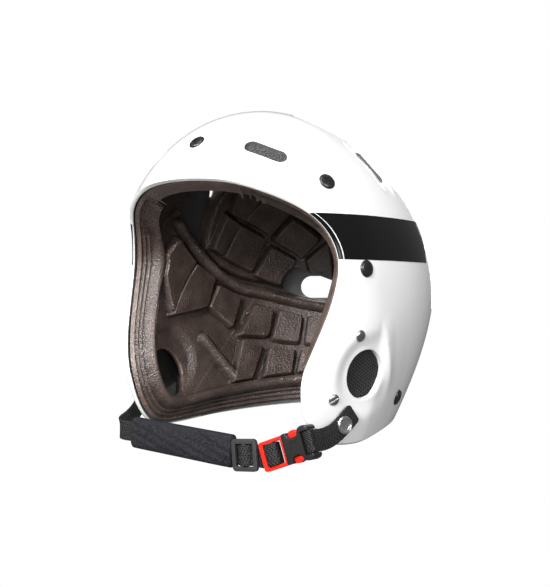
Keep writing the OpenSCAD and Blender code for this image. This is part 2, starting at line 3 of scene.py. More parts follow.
import bpy
import numpy as np
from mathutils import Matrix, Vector


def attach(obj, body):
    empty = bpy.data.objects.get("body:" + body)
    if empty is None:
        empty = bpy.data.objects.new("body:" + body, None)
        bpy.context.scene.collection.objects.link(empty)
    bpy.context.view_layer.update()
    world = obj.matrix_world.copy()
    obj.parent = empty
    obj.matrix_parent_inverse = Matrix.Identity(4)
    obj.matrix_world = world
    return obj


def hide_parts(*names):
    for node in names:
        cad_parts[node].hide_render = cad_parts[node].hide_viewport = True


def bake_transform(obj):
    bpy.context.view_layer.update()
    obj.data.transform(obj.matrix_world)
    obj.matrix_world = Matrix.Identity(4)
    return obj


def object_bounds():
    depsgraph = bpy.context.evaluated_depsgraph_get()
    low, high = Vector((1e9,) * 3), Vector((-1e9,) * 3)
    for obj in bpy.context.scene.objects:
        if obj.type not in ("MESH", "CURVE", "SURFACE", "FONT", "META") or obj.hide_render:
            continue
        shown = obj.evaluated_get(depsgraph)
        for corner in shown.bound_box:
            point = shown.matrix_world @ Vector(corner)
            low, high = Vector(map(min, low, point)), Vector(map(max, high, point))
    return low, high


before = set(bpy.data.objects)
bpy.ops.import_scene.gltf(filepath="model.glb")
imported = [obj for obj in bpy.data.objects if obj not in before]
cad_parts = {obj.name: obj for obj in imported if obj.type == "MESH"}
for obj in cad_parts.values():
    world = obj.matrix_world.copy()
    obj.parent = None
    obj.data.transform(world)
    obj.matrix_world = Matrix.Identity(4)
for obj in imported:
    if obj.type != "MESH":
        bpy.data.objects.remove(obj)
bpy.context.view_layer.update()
MM = 0.001

# ---------------------------------------------------------------- shell surface, as in the CAD source
HALF_WIDTH, FRONT_LENGTH, REAR_LENGTH = 110.0, 108.5, 156.0
CROWN_HEIGHT, SKIRT_LENGTH = 131.0, 198.0
FRONT_POWER, REAR_POWER, SIDE_POWER = 2.04, 2.28, 2.02
NAPE_TUCK = 0.27
WALL = 3.5


def unit(v):
    v = np.asarray(v, float)
    return v / np.linalg.norm(v, axis=-1, keepdims=True)


def shell_radius(d):
    x, y, z = d[..., 0], d[..., 1], d[..., 2]
    p = np.where(y < 0, FRONT_POWER, REAR_POWER)
    length = np.where(y < 0, FRONT_LENGTH, REAR_LENGTH)
    height = np.where(z > 0, CROWN_HEIGHT, SKIRT_LENGTH)
    plan = np.abs(x / HALF_WIDTH) ** p + np.abs(y / length) ** p
    r = (plan ** (SIDE_POWER / p) + np.abs(z / height) ** SIDE_POWER) ** (-1 / SIDE_POWER)
    return r * (1 - NAPE_TUCK * np.maximum(-z - 0.05, 0) ** 1.5 * np.maximum(y, 0))


def on_shell(d):
    return shell_radius(d)[..., None] * d


def level(p):
    n = np.linalg.norm(p, axis=-1)
    return n / shell_radius(p / n[..., None])


def normal(d):
    p = on_shell(d)
    e = np.eye(3) * 0.4
    return unit(np.stack([level(p + e[i]) - level(p - e[i]) for i in range(3)], -1))


def under(d, depth):
    return on_shell(d) - np.asarray(depth, float)[..., None] * normal(d)


EDGE_POINTS = [[-118, 78], [-90, 73], [-73, 63], [-52, 47], [-42, 31], [-39, 12], [-44.5, -13], [-54, -41],
               [-59, -64], [-54, -87], [-42, -103], [-27, -110], [0, -111], [40, -107], [86, -103],
               [130, -99], [170, -96], [210, -92]]
EDGE_CENTRE = np.array([30.0, 30.0])
FAR = 900.0


def spline(a, b, c, d, t):
    return 0.5 * (2 * b + (c - a) * t + (2 * a - 5 * b + 4 * c - d) * t * t + (3 * b - a - 3 * c + d) * t**3)


def edge_angle(q):
    a = np.degrees(np.arctan2(q[..., 1], q[..., 0]))
    return np.where(a < 90, a + 360, a)


def edge_table(steps=16):
    p = np.array(EDGE_POINTS, float)
    q = np.array([spline(p[i - 1], p[i], p[i + 1], p[i + 2], s / steps)
                  for i in range(1, len(p) - 2) for s in range(steps)]) - EDGE_CENTRE
    a, r = edge_angle(q), np.linalg.norm(q, axis=1)
    order = np.argsort(a)
    a, r = a[order], r[order]
    return np.concatenate([[90, a[0] - 6], a, [400]]), np.concatenate([[FAR, FAR], r, [FAR]])


EDGE_ANGLES, EDGE_RADII = edge_table()


def edge_room(p):
    """How far inside the opening's edge a point is, in side view."""
    q = p[..., 1:] - EDGE_CENTRE
    return np.interp(edge_angle(q), EDGE_ANGLES, EDGE_RADII) - np.linalg.norm(q, axis=-1)


TILT = math.radians(45)
POLE = np.array([0, math.sin(TILT), math.cos(TILT)])
DOWN = np.array([0, math.cos(TILT), -math.sin(TILT)])
LEFT = np.array([1.0, 0, 0])


def polar(turn, spread):
    """Direction at a turn (0 left, 90 back, -90 brow) and a spread from the pole, in degrees."""
    t, s = np.radians(turn)[..., None], np.radians(spread)[..., None]
    return POLE * np.cos(s) + (LEFT * np.cos(t) + DOWN * np.sin(t)) * np.sin(s)


def bisect(shape, low, high, is_low, steps=24):
    """The two ends that close in on where is_low turns false, from one starting range for every element."""
    low, high = np.full(shape, low), np.full(shape, high)
    for _ in range(steps):
        mid = (low + high) / 2
        below = is_low(mid)
        low, high = np.where(below, mid, low), np.where(below, high, mid)
    return low, high


def edge_spread(turn, margin):
    """Spread at which a turn comes within a margin of the opening's edge."""
    return bisect(np.shape(turn), 20.0, 170.0, lambda m: edge_room(on_shell(polar(turn, m))) > margin, 22)[0]


def rise(t):
    t = np.clip(t, 0, 1)
    return t * t * (3 - 2 * t)


def quarter_round(t):
    """Quarter circle that rises from 0 to 1."""
    return np.sqrt(np.clip(1 - (1 - np.clip(t, 0, 1)) ** 2, 0, 1))


def on_surface(place):
    d = unit(np.array(place, float))
    return shell_radius(d) * d


def mirror(p, side):
    return np.array([side * p[0], p[1], p[2]], float)


FRONT_PLUG, TEMPLE_PLUG, SIDE_PLUG = [0, -70, 101], [87, -33.5, 70], [108, -17, 11]
NAPE_PLUG, BACK_PLUG = [93, 49, -84], [0, 150, 22]
FRONT_SLOT, BACK_VENT = [53.5, -58, 92.2], [50, 138, 0]
SCOOP_PLACE = [80.5, 30, 88]
SLOT_SPIN, SCOOP_SPIN = 62, 18
STRIPE_LOW, STRIPE_HIGH, STRIPE_END = 17, 48, 75
EAR_PORT, UPPER_SCREW, LOWER_SCREW = [104, -9.5, -62], [106, -22.4, -34.3], [94.8, -37.1, -77]
RIVET_Y, RIVET_Z, STRAP_X = -31.5, -94.2, 99.3


def axes_at(place, spin=0):
    """Origin, long axis, short axis and normal on the shell, turned like the CAD's on_shell."""
    d = unit(np.array(place, float))
    n = normal(d)
    tilt, turn, a = math.acos(n[2]), math.atan2(n[1], n[0]), math.radians(spin)
    x = np.array([math.cos(turn) * math.cos(tilt), math.sin(turn) * math.cos(tilt), -math.sin(tilt)])
    y = np.array([-math.sin(turn), math.cos(turn), 0])
    return shell_radius(d) * d, x * math.cos(a) + y * math.sin(a), -x * math.sin(a) + y * math.cos(a), n


DISH_LEAN, DISH_DEPTH, SWELL = 0.13, 1.9, 1.2
RIVET_LEAN = math.radians(15)


def bump(d):
    """How far the visual shell stands off the plain one, at its swollen ear covers, dished ports and scoops."""
    p = on_shell(d)
    out = np.zeros(d.shape[:-1])
    for side in (1, -1):
        o, a, b, n = axes_at(mirror(EAR_PORT, side))
        away = p - o
        r = np.linalg.norm(away, axis=-1)
        reach = np.minimum(1, 19.5 / np.maximum(r, 1))
        flat = DISH_DEPTH + SWELL + away @ n * reach**2 - DISH_LEAN * away[..., 1] * reach
        out += SWELL * rise((60 - r) / 34) - flat * rise((32 - r) / 12.5)
        o, a, b, n = axes_at(mirror(SCOOP_PLACE, side), side * SCOOP_SPIN)
        u, v = (p - o) @ a, (p - o) @ b * side
        inside = rise((30 - np.abs(u)) / 18)
        out += inside * (-1.8 * rise((v + 14) / 12) * rise((5 - v) / 4))
        out += inside * (1.3 * rise((v - 1) / 4) * rise((20 - v) / 16))
    return out


def skin(d, depth):
    return under(d, np.asarray(depth, float) - bump(d))


def skin_normal(d):
    """Outward normal of the bumped shell."""
    n = normal(d)
    a = unit(np.cross(n, np.array([0.31, 0.17, 0.94])))
    b = np.cross(n, a)
    e = 0.004
    du = skin(unit(d + e * a), 0.0) - skin(unit(d - e * a), 0.0)
    dv = skin(unit(d + e * b), 0.0) - skin(unit(d - e * b), 0.0)
    m = unit(np.cross(du, dv))
    return m * np.sign((m * n).sum(-1, keepdims=True))


# ---------------------------------------------------------------- materials
def principled(name, color, roughness, **values):
    m = bpy.data.materials.new(name)
    m.use_nodes = True
    s = m.node_tree.nodes["Principled BSDF"]
    s.inputs["Base Color"].default_value = (*color, 1)
    s.inputs["Roughness"].default_value = roughness
    for k, v in values.items():
        s.inputs[k.replace("_", " ")].default_value = v
    return m


def node(m, kind, **values):
    n = m.node_tree.nodes.new(kind)
    for k, v in values.items():
        if hasattr(n, k):
            setattr(n, k, v)
        else:
            n.inputs[k.replace("_", " ")].default_value = v
    return n


def link(m, a, b):
    m.node_tree.links.new(a, b)


def add_bump(m, height, strength, distance):
    b = node(m, "ShaderNodeBump", Strength=strength, Distance=distance)
    s = m.node_tree.nodes["Principled BSDF"]
    old = s.inputs["Normal"].links
    if old:
        link(m, old[0].from_socket, b.inputs["Normal"])
    link(m, height, b.inputs["Height"])
    link(m, b.outputs["Normal"], s.inputs["Normal"])


def math_node(m, op, a, b=None):
    n = node(m, "ShaderNodeMath", operation=op)
    for i, v in enumerate((a, b)):
        if v is None:
            continue
        if isinstance(v, (int, float)):
            n.inputs[i].default_value = v
        else:
            link(m, v, n.inputs[i])
    return n.outputs[0]


def shade(m, factor, dark, light, low=0.0, high=1.0):
    """Base colour from a height between two colours."""
    ramp = node(m, "ShaderNodeValToRGB")
    link(m, factor, ramp.inputs["Fac"])
    ramp.color_ramp.elements[0].position, ramp.color_ramp.elements[1].position = low, high
    ramp.color_ramp.elements[0].color, ramp.color_ramp.elements[1].color = (*dark, 1), (*light, 1)
    link(m, ramp.outputs["Color"], m.node_tree.nodes["Principled BSDF"].inputs["Base Color"])


def coords(m, kind="Object"):
    return node(m, "ShaderNodeTexCoord").outputs[kind]


def voronoi(m, scale, feature="F1", source=None):
    v = node(m, "ShaderNodeTexVoronoi", feature=feature)
    v.inputs["Scale"].default_value = scale
    link(m, source or coords(m), v.inputs["Vector"])
    return v.outputs["Distance"]


def noise(m, scale, detail=2.0, source=None):
    n = node(m, "ShaderNodeTexNoise")
    n.inputs["Scale"].default_value = scale
    n.inputs["Detail"].default_value = detail
    link(m, source or coords(m), n.inputs["Vector"])
    return n.outputs[0]


def plain(name, color, roughness, grain, detail, strength, distance, **values):
    """One colour with a noise bump."""
    m = principled(name, color, roughness, **values)
    add_bump(m, noise(m, grain, detail), strength, distance)
    return m


def foam_material():
    m = principled("liner_foam", (0.1, 0.075, 0.065), 0.33, Specular_IOR_Level=0.75)
    pebble = voronoi(m, 760, "SMOOTH_F1")
    add_bump(m, math_node(m, "ADD", pebble, math_node(m, "MULTIPLY", noise(m, 1900, 2), 0.35)), 0.8, 0.0009)
    # Painted shade and highlight: pointiness darkens the grooves between the blocks and lightens their edges and
    # rolls; the noise mottle is the foam's own uneven tone.
    point = node(m, "ShaderNodeNewGeometry").outputs["Pointiness"]
    groove_shade_edge_light = math_node(m, "MULTIPLY", math_node(m, "SUBTRACT", point, 0.5), 5.0)
    mottle = math_node(m, "MULTIPLY", noise(m, 90, 3), 0.7)
    shade(m, math_node(m, "ADD", groove_shade_edge_light, mottle), (0.016, 0.010, 0.0085), (0.16, 0.113, 0.094), 0.0, 0.9)
    return m


def screen_material():
    m = principled("vent_foam", (0.035, 0.035, 0.035), 0.85)
    cell = voronoi(m, 900)
    shade(m, cell, (0.16, 0.16, 0.16), (0.02, 0.02, 0.02), 0.05, 0.55)
    add_bump(m, cell, 0.8, 0.0012)
    return m


def webbing_material():
    """Twill that zigzags across the webbing, laid out in millimetres by the UV map."""
    m = principled("webbing_black", (0.014, 0.014, 0.015), 0.62, Specular_IOR_Level=0.3)
    split = node(m, "ShaderNodeSeparateXYZ")
    link(m, coords(m, "UV"), split.inputs[0])
    along = math_node(m, "MULTIPLY", split.outputs["X"], 2 * math.pi / 2.4)
    zig = math_node(m, "MULTIPLY", math_node(m, "PINGPONG", split.outputs["Y"], 2.5), 2 * math.pi / 2.6)
    twill = math_node(m, "SINE", math_node(m, "ADD", along, zig))
    rib = math_node(m, "SINE", math_node(m, "MULTIPLY", split.outputs["Y"], 2 * math.pi / 1.25))
    height = math_node(m, "ADD", math_node(m, "MULTIPLY", twill, 0.6), math_node(m, "MULTIPLY", rib, 0.35))
    add_bump(m, height, 0.7, 0.0004)
    # Painted shade and highlight: the colour follows the weave's height, dark in its valleys and light on its
    # ridges.
    shade(m, math_node(m, "MULTIPLY", math_node(m, "ADD", height, 1.0), 0.5), (0.003, 0.003, 0.003),
          (0.03, 0.03, 0.031), 0.35, 1.0)
    return m


def cloth_material():
    m = principled("pad_fabric", (0.022, 0.022, 0.026), 0.85, Specular_IOR_Level=0.25)
    add_bump(m, noise(m, 1500, 4), 0.6, 0.0006)
    shade(m, noise(m, 700, 4), (0.004, 0.004, 0.006), (0.02, 0.02, 0.025), 0.35, 0.68)
    return m


def make_materials():
    return {
        "white": plain("shell_white", (0.8, 0.8, 0.795), 0.16, 14, 1, 0.02, 0.002,
                       Coat_Weight=0.6, Coat_Roughness=0.03),
        "inner": plain("shell_inside", (0.1, 0.1, 0.102), 0.5, 500, 2, 0.15, 0.0003),
        "stripe": plain("stripe_black", (0.003, 0.003, 0.0035), 0.08, 14, 1, 0.02, 0.002,
                        Specular_IOR_Level=0.42),
        # Painted highlight: white for the strip that stands for light caught on the shell's crease beside the
        # stripes.
        "line": plain("crease_highlight_white", (0.8, 0.8, 0.8), 0.2, 300, 1, 0.02, 0.0002),
        "foam": foam_material(),
        "screen": screen_material(),
        "mesh": plain("mesh_black", (0.1, 0.1, 0.102), 0.3, 900, 2, 0.1, 0.0002, Metallic=0.5),
        "plug": plain("plug_black", (0.012, 0.012, 0.012), 0.3, 700, 2, 0.08, 0.0002),
        "steel": plain("screw_steel", (0.4, 0.4, 0.41), 0.3, 800, 2, 0.12, 0.0002, Metallic=1.0),
        "rivet": plain("rivet_silver", (0.72, 0.72, 0.73), 0.22, 800, 2, 0.08, 0.0002, Metallic=1.0),
        "web": webbing_material(),
        "body": plain("buckle_black", (0.012, 0.012, 0.012), 0.36, 1300, 2, 0.12, 0.0002),
        "red": plain("buckle_red", (0.62, 0.018, 0.008), 0.34, 1300, 2, 0.08, 0.0002),
        "slider": plain("slider_grey", (0.03, 0.03, 0.032), 0.42, 1300, 2, 0.15, 0.0002),
        "cloth": cloth_material(),
        "plastic": plain("inner_black", (0.02, 0.02, 0.02), 0.45, 900, 2, 0.1, 0.0002)}


MAT = make_materials()


# ---------------------------------------------------------------- mesh helpers
def make_mesh(name, points, faces, materials, body, angle=35, slot=None, replaces=()):
    me = bpy.data.meshes.new(name)
    points = np.asarray(points, float).reshape(-1, 3) * MM
    if isinstance(faces, np.ndarray):
        size = np.full(len(faces), faces.shape[1])
        loops = faces.ravel()
    else:
        size = np.array([len(f) for f in faces])
        loops = np.array([i for f in faces for i in f])
    me.vertices.add(len(points))
    me.vertices.foreach_set("co", points.ravel())
    me.loops.add(len(loops))
    me.loops.foreach_set("vertex_index", loops.astype(np.int32))
    me.polygons.add(len(size))
    me.polygons.foreach_set("loop_start", np.concatenate([[0], np.cumsum(size)[:-1]]).astype(np.int32))
    me.update(calc_edges=True)
    me.validate()
    for m in materials:
        me.materials.append(m)
    me.polygons.foreach_set("use_smooth", np.ones(len(me.polygons), bool))
    me.set_sharp_from_angle(angle=math.radians(angle))
    o = bpy.data.objects.new(name, me)
    bpy.context.scene.collection.objects.link(o)
    if body:
        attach(o, body)
    if replaces:
        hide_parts(*replaces)
    return o


def grid_quads(rows, cols, wrap=False, start=0):
    r, c = np.meshgrid(np.arange(rows - 1), np.arange(cols if wrap else cols - 1), indexing="ij")
    n, a, b = (c + 1) % cols, r * cols, (r + 1) * cols
    return (start + np.stack([a + c, a + n, b + n, b + c], -1)).reshape(-1, 4)


def tube_faces(rows, cols):
    """Faces of a tube of closed rings with a flat cap on each end."""
    return grid_quads(rows, cols, wrap=True).tolist() + [list(range(cols))[::-1],
                                                         list(range((rows - 1) * cols, rows * cols))]


def in_axes(points, origin, x, y, z):
    """Local points carried to an origin and three axes."""
    p = np.asarray(points, float)
    return origin + p[:, :1] * x + p[:, 1:2] * y + p[:, 2:3] * z


def closed_sheet(upper, lower):
    """Closed solid between two matching grids of points."""
    rows, cols = upper.shape[:2]
    count = rows * cols
    faces = grid_quads(rows, cols).tolist() + [q[::-1] for q in grid_quads(rows, cols, start=count).tolist()]
    ring = ([(0, c) for c in range(cols)] + [(r, cols - 1) for r in range(1, rows)]
            + [(rows - 1, c) for c in range(cols - 2, -1, -1)] + [(r, 0) for r in range(rows - 2, 0, -1)])
    ids = [r * cols + c for r, c in ring]
    for a, b in zip(ids, ids[1:] + ids[:1]):
        faces.append([b, a, a + count, b + count])
    points = np.concatenate([upper.reshape(-1, 3), lower.reshape(-1, 3)])
    return points, outward(points, faces)


def joined(*pieces):
    """One list of points and faces from several (points, faces)."""
    points, faces, start = [], [], 0
    for p, f in pieces:
        p = np.asarray(p, float).reshape(-1, 3)
        points.append(p)
        faces += [[i + start for i in q] for q in f]
        start += len(p)
    return np.concatenate(points), faces


def outward(points, faces):
    """Faces turned so that a closed mesh's volume is positive."""
    v = np.asarray(points, float).reshape(-1, 3)
    total = 0.0
    for f in faces:
        a = v[f[0]]
        for i in range(1, len(f) - 1):
            total += np.dot(a, np.cross(v[f[i]], v[f[i + 1]]))
    return faces if total > 0 else [list(f)[::-1] for f in faces]


def lathe(profile, n=48):
    """Closed turned solid about +Z from (radius, height) points; the first and last lie on the axis."""
    points, faces = [[0, 0, profile[0][1]]], []
    for r, z in profile[1:-1]:
        for i in range(n):
            a = 2 * math.pi * i / n
            points.append([r * math.cos(a), r * math.sin(a), z])
    points.append([0, 0, profile[-1][1]])
    rings = len(profile) - 2
    for i in range(n):
        j = (i + 1) % n
        faces.append([0, 1 + j, 1 + i])
        faces.append([1 + (rings - 1) * n + i, 1 + (rings - 1) * n + j, len(points) - 1])
        for k in range(rings - 1):
            faces.append([1 + k * n + i, 1 + k * n + j, 1 + (k + 1) * n + j, 1 + (k + 1) * n + i])
    return np.array(points), faces


def placed(points, place, spin=0, lift=0.0, side=1):
    """Local points carried to a place on the visual shell."""
    o, a, b, n = axes_at(mirror(place, side), side * spin)
    o = o + n * (lift + float(bump(unit(mirror(place, side))[None])[0]))
    return in_axes(points, o, a, b, n)


def read_array(items, key, width=1):
    """One property of every vertex, loop or face."""
    values = np.zeros(len(items) * width, np.float32 if width > 1 else np.int32)
    items.foreach_get(key, values)
    return values.reshape(-1, width) if width > 1 else values


def bake(o):
    """The object's mesh becomes what its modifiers make of it."""
    me = bpy.data.meshes.new_from_object(o.evaluated_get(bpy.context.evaluated_depsgraph_get()))
    o.modifiers.clear()
    old = o.data
    o.data = me
    bpy.data.meshes.remove(old)


def boolean(target, cutter, operation="DIFFERENCE"):
    b = target.modifiers.new("cut", "BOOLEAN")
    b.operation, b.object, b.solver = operation, cutter, "MANIFOLD"
    bake(target)
    bpy.data.objects.remove(cutter)


# ---------------------------------------------------------------- shell
def stadium_outline(length, width, grow, n=24):
    r, s = width / 2, (length - width) / 2
    out = []
    for k in range(2 * n):
        a = math.pi * (k + 0.5) / n - math.pi / 2
        out.append([(s if k < n else -s) + (r + grow) * math.cos(a), (r + grow) * math.sin(a)])
    return np.array(out)


def circle_outline(d, grow, n=64):
    a = 2 * math.pi * np.arange(n) / n
    return np.stack([(d / 2 + grow) * np.cos(a), (d / 2 + grow) * np.sin(a)], -1)


def surface_cutter(outline, place, side, spin, fillet, floor):
    """Closed tool whose walls follow the shell's normals, with a rounded mouth."""
    o, a, b, n = axes_at(mirror(place, side), side * spin)
    steps = [(fillet * (1 - math.sin(t)), fillet * (1 - math.cos(t))) for t in np.linspace(0, math.pi / 2, 5)]
    profile = [(fillet, -3.0)] + steps + [(0.0, floor)]
    rings = []
    for grow, depth in profile:
        q = outline(grow)
        d = unit(o + q[:, :1] * a + q[:, 1:2] * b * side)
        rings.append(skin(d, depth))
    points = np.concatenate(rings)
    return points, outward(points, tube_faces(len(rings), len(rings[0])))


SHELL_TURNS, SHELL_RINGS = ((400, 130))
# The rounded lip of the opening: distance inside the edge, depth under the shell's face
LIP = [(2.6, 0.0), (2.35, 0.05), (1.6, 0.45), (0.9, 0.95), (0.35, 1.5), (0.05, 2.1), (0.0, 2.6), (0.2, 3.1),
       (0.7, 3.5)]


# Holes on both sides: outline against its growth, place, spin, rounding of the mouth, depth
PLUG_HOLE, SCREW_HOLE = (lambda g: circle_outline(7, g, 24)), (lambda g: circle_outline(5, g, 24))
SHELL_HOLES = [
    (lambda g: circle_outline(35, g), EAR_PORT, 0, 1.0, 8),
    (lambda g: stadium_outline(32, 11, g), FRONT_SLOT, SLOT_SPIN, 0.9, 8),
    (lambda g: stadium_outline(30, 5.5, g), SCOOP_PLACE, SCOOP_SPIN, 0.5, 9),
    (lambda g: stadium_outline(34, 20, g), BACK_VENT, 90, 0.9, 8),
    (PLUG_HOLE, TEMPLE_PLUG, 0, 0.2, 8), (PLUG_HOLE, SIDE_PLUG, 0, 0.2, 8), (PLUG_HOLE, NAPE_PLUG, 0, 0.2, 8),
    (SCREW_HOLE, UPPER_SCREW, 0, 0.2, 8), (SCREW_HOLE, LOWER_SCREW, 0, 0.2, 8)]


def shell_solid():
    """Closed wall: outer face, rounded lip, inner face."""
    turn = 360 * np.arange(SHELL_TURNS) / SHELL_TURNS
    outer = edge_spread(turn, LIP[0][0])
    inner = edge_spread(turn, LIP[-1][0])
    rings = [skin(polar(turn, outer * k / SHELL_RINGS), 0.0) for k in range(1, SHELL_RINGS + 1)]
    for margin, depth in LIP[1:]:
        rings.append(skin(polar(turn, edge_spread(turn, margin)), depth))
    inner_rings = SHELL_RINGS // 2
    for k in range(inner_rings - 1, 0, -1):
        rings.append(skin(polar(turn, inner * k / inner_rings), WALL))
    points = np.concatenate(rings + [skin(POLE[None], [0.0]), skin(POLE[None], [WALL])])
    faces = grid_quads(len(rings), SHELL_TURNS, wrap=True).tolist()
    top, low = len(points) - 2, len(points) - 1
    last = (len(rings) - 1) * SHELL_TURNS
    for i in range(SHELL_TURNS):
        j = (i + 1) % SHELL_TURNS
        faces += [[top, j, i], [low, last + i, last + j]]
    return points, outward(points, faces)


def build_shell():
    shell = make_mesh("shell_gloss", *shell_solid(), [MAT["white"], MAT["inner"]], None)
    tools = [surface_cutter(outline, place, side, spin, fillet, floor)
             for side in (1, -1) for outline, place, spin, fillet, floor in SHELL_HOLES]
    tools += [surface_cutter(PLUG_HOLE, place, 1, 0, 0.2, 8) for place in (FRONT_PLUG, BACK_PLUG)]
    p, f = joined(*tools)
    boolean(shell, make_mesh("shell_tool", p, f, [], None))
    dress_shell(shell.data)
    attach(shell, "shell")
    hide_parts("outer_shell")


def dress_shell(me):
    """Gloss outside and dark inside, with the walls of the front slots and scoops dark too as painted shade in
    the openings, and normals from the smooth surface so that the holes leave no marks.
    """
    co = read_array(me.vertices, "co", 3).astype(float) / MM
    d = unit(co)
    smooth_n, base = skin_normal(d), normal(d)
    depth = ((skin(d, 0.0) - co) * base).sum(-1)
    on_outer, on_inner = np.abs(depth) < 0.02, np.abs(depth - WALL) < 0.03
    sizes = read_array(me.polygons, "loop_total")
    loops = read_array(me.loops, "vertex_index")
    owner = np.repeat(np.arange(len(sizes)), sizes)

    def face_sum(values):
        return np.bincount(owner, values[loops], len(sizes))

    mean_n = unit(np.stack([face_sum(v) for v in base.T], -1))
    facing = (read_array(me.polygons, "normal", 3) * mean_n).sum(-1)
    full_outer = (face_sum(on_outer) == sizes) & (facing > 0.8)
    full_inner = (face_sum(on_inner) == sizes) & (facing < -0.8)
    mean_depth = face_sum(depth) / sizes
    centre = np.stack([face_sum(v) for v in co.T], -1) / sizes[:, None]
    # Painted shade: around the front slots and scoops the walls of the holes get the dark inside colour, so that
    # the openings read as shadowed.
    vent_shade_zone = np.zeros(len(sizes), bool)
    for side in (1, -1):
        for place, reach in ((FRONT_SLOT, 18.5), (SCOOP_PLACE, 20)):
            vent_shade_zone |= np.linalg.norm(centre - on_surface(mirror(place, side)), axis=1) < reach
    material = np.where(full_inner | (mean_depth > 3.3) | (vent_shade_zone & (mean_depth > 0.5)), 1, 0)
    me.polygons.foreach_set("material_index", material.astype(np.int32))
    me.polygons.foreach_set("use_smooth", np.ones(len(sizes), bool))
    me.set_sharp_from_angle(angle=math.radians(40))
    corner = read_array(me.corner_normals, "vector", 3)
    corner = np.where(full_outer[owner][:, None], smooth_n[loops], corner)
    corner = np.where(full_inner[owner][:, None], -smooth_n[loops], corner)
    me.normals_split_custom_set(corner.tolist())


def side_x(y, z):
    """Half width of the shell at a place in side view."""
    return bisect(y.shape, 5.0, 130.0, lambda x: level(np.stack([x, y, z], -1)) < 1)[0]


def front_y(z, margin):
    """Where a height meets the opening's edge, that far inside it."""
    return bisect(z.shape, -100.0, 0.0, lambda y: edge_room(np.stack([side_x(y, z), y, z], -1)) < margin)[1]


def skin_patch(name, side, low, high, from_margin, to_y, to_margin, cols, material, slot, replaces=()):
    """Thin skin on the side between two heights, from near the opening's edge to a Y or to another margin."""
    lift, thick = 0.14, 0.1
    rows = 25
    z = np.linspace(low, high, rows)[:, None] * np.ones((1, cols))
    start = front_y(z[:, 0], from_margin)
    end = front_y(z[:, 0], to_margin) if to_y is None else np.full(rows, float(to_y))
    t = np.linspace(0, 1, cols)[None]
    y = start[:, None] * (1 - t) + end[:, None] * t
    d = unit(np.stack([side * side_x(y, z), y, z], -1))
    points, faces = closed_sheet(skin(d, -lift - thick), skin(d, -lift))
    make_mesh(name, points, faces, [material], "shell", slot=slot, replaces=replaces)


def lip_strip(name, side, low, high, margins, material, slot):
    """Thin skin on the rounded lip of the opening, between two heights."""
    lift, thick = 0.1, 0.08
    depths = np.interp(margins, [m for m, _ in LIP[6::-1]], [k for _, k in LIP[6::-1]])
    z = np.linspace(low, high, 25)
    y = np.stack([front_y(z, m) for m in margins], -1)
    zz = z[:, None] * np.ones((1, len(margins)))
    d = unit(np.stack([side * side_x(y, zz), y, zz], -1))
    push = unit(np.array([0, -0.7, 0])) * lift * (depths[None, :, None] > 0.3)
    outer = skin(d, depths[None] - lift - thick) + push
    inner = skin(d, depths[None] + 0.05)
    points, faces = closed_sheet(outer, inner)
    make_mesh(name, points, faces, [material], "shell", slot=slot)


def build_stripes():
    for side, word in ((1, "left"), (-1, "right")):
        lip_strip(f"stripe_{word}_lip", side, STRIPE_LOW, STRIPE_HIGH,
                  np.array([0.1, 0.35, 0.6, 0.9, 1.2, 1.6, 2.0, 2.35, 2.6]), MAT["stripe"], "stripe_black")
        skin_patch(f"stripe_{word}_main", side, STRIPE_LOW, STRIPE_HIGH, 3.2, STRIPE_END, None, 90, MAT["stripe"],
                   "stripe_black", replaces=[f"stripe_{word}"])
        # Painted highlight: a white strip between the lip stripe and the main stripe, standing for the light that
        # the shell's crease catches there.
        skin_patch(f"stripe_{word}_line", side, STRIPE_LOW - 0.4, STRIPE_HIGH + 0.4, 2.55, None, 3.15, 3,
                   MAT["line"], "shell_white")


# ---------------------------------------------------------------- liner
LINER_OUT = WALL + 0.9
FLOOR = 13.0
AWAY = 99.0  # far enough from a pad's side to be left unrounded
CROWN_LOW, EDGE_GAP = 9.0, 2.4
ROLL_TURN = [-25, -1, 14, 26, 39, 53, 72, 90]
ROLL_TOP = [70, 67, 66, 63, 58, 55, 53, 52.5]
CROWN_BLOCKS = [
    [(-12, 28), (17, 24), (21, 39), (0, 43)], [(25, 27), (55, 29), (48, 40), (25, 40)],
    [(63, 29), (51, 40), (56, 44), (71, 44)], [(1, 46), (20, 42), (27, 57), (9, 61)],
    [(27, 43), (45, 42), (44, 55), (30, 57)], [(-29, 39), (-13, 30), (0, 43), (-11, 47)],
    [(-11, 49), (0, 46), (8, 61), (1, 63)], [(21, 11), (61, 11), (61, 26), (21, 22)],
    [(-25, 14), (10, 11), (16, 22), (-12, 25)], [(66, 12), (86, 12), (86, 42), (74, 43)]]
BAND_BLOCKS = [
    [(-19, 76), (-2, 75), (4, 102), (-19, 91)], [(-1, 75), (13, 72), (19, 85), (5, 103)],
    [(17, 73), (30, 69), (35, 83), (20, 84)], [(39, 67.5), (47, 65), (51, 76), (40, 83)],
    [(50, 64), (61, 62), (64, 72), (53, 76)], [(64, 61), (74, 59), (74, 70), (67, 71)],
    [(42, 84), (51, 81), (54, 97), (49, 104)], [(54, 80), (64, 75), (68, 88), (59, 96)],
    [(67, 74), (71, 74), (75, 84), (70, 87)], [(77, 60), (103, 60), (101, 72), (79, 72)],
    [(77, 75), (103, 75), (100, 86), (80, 86)]]
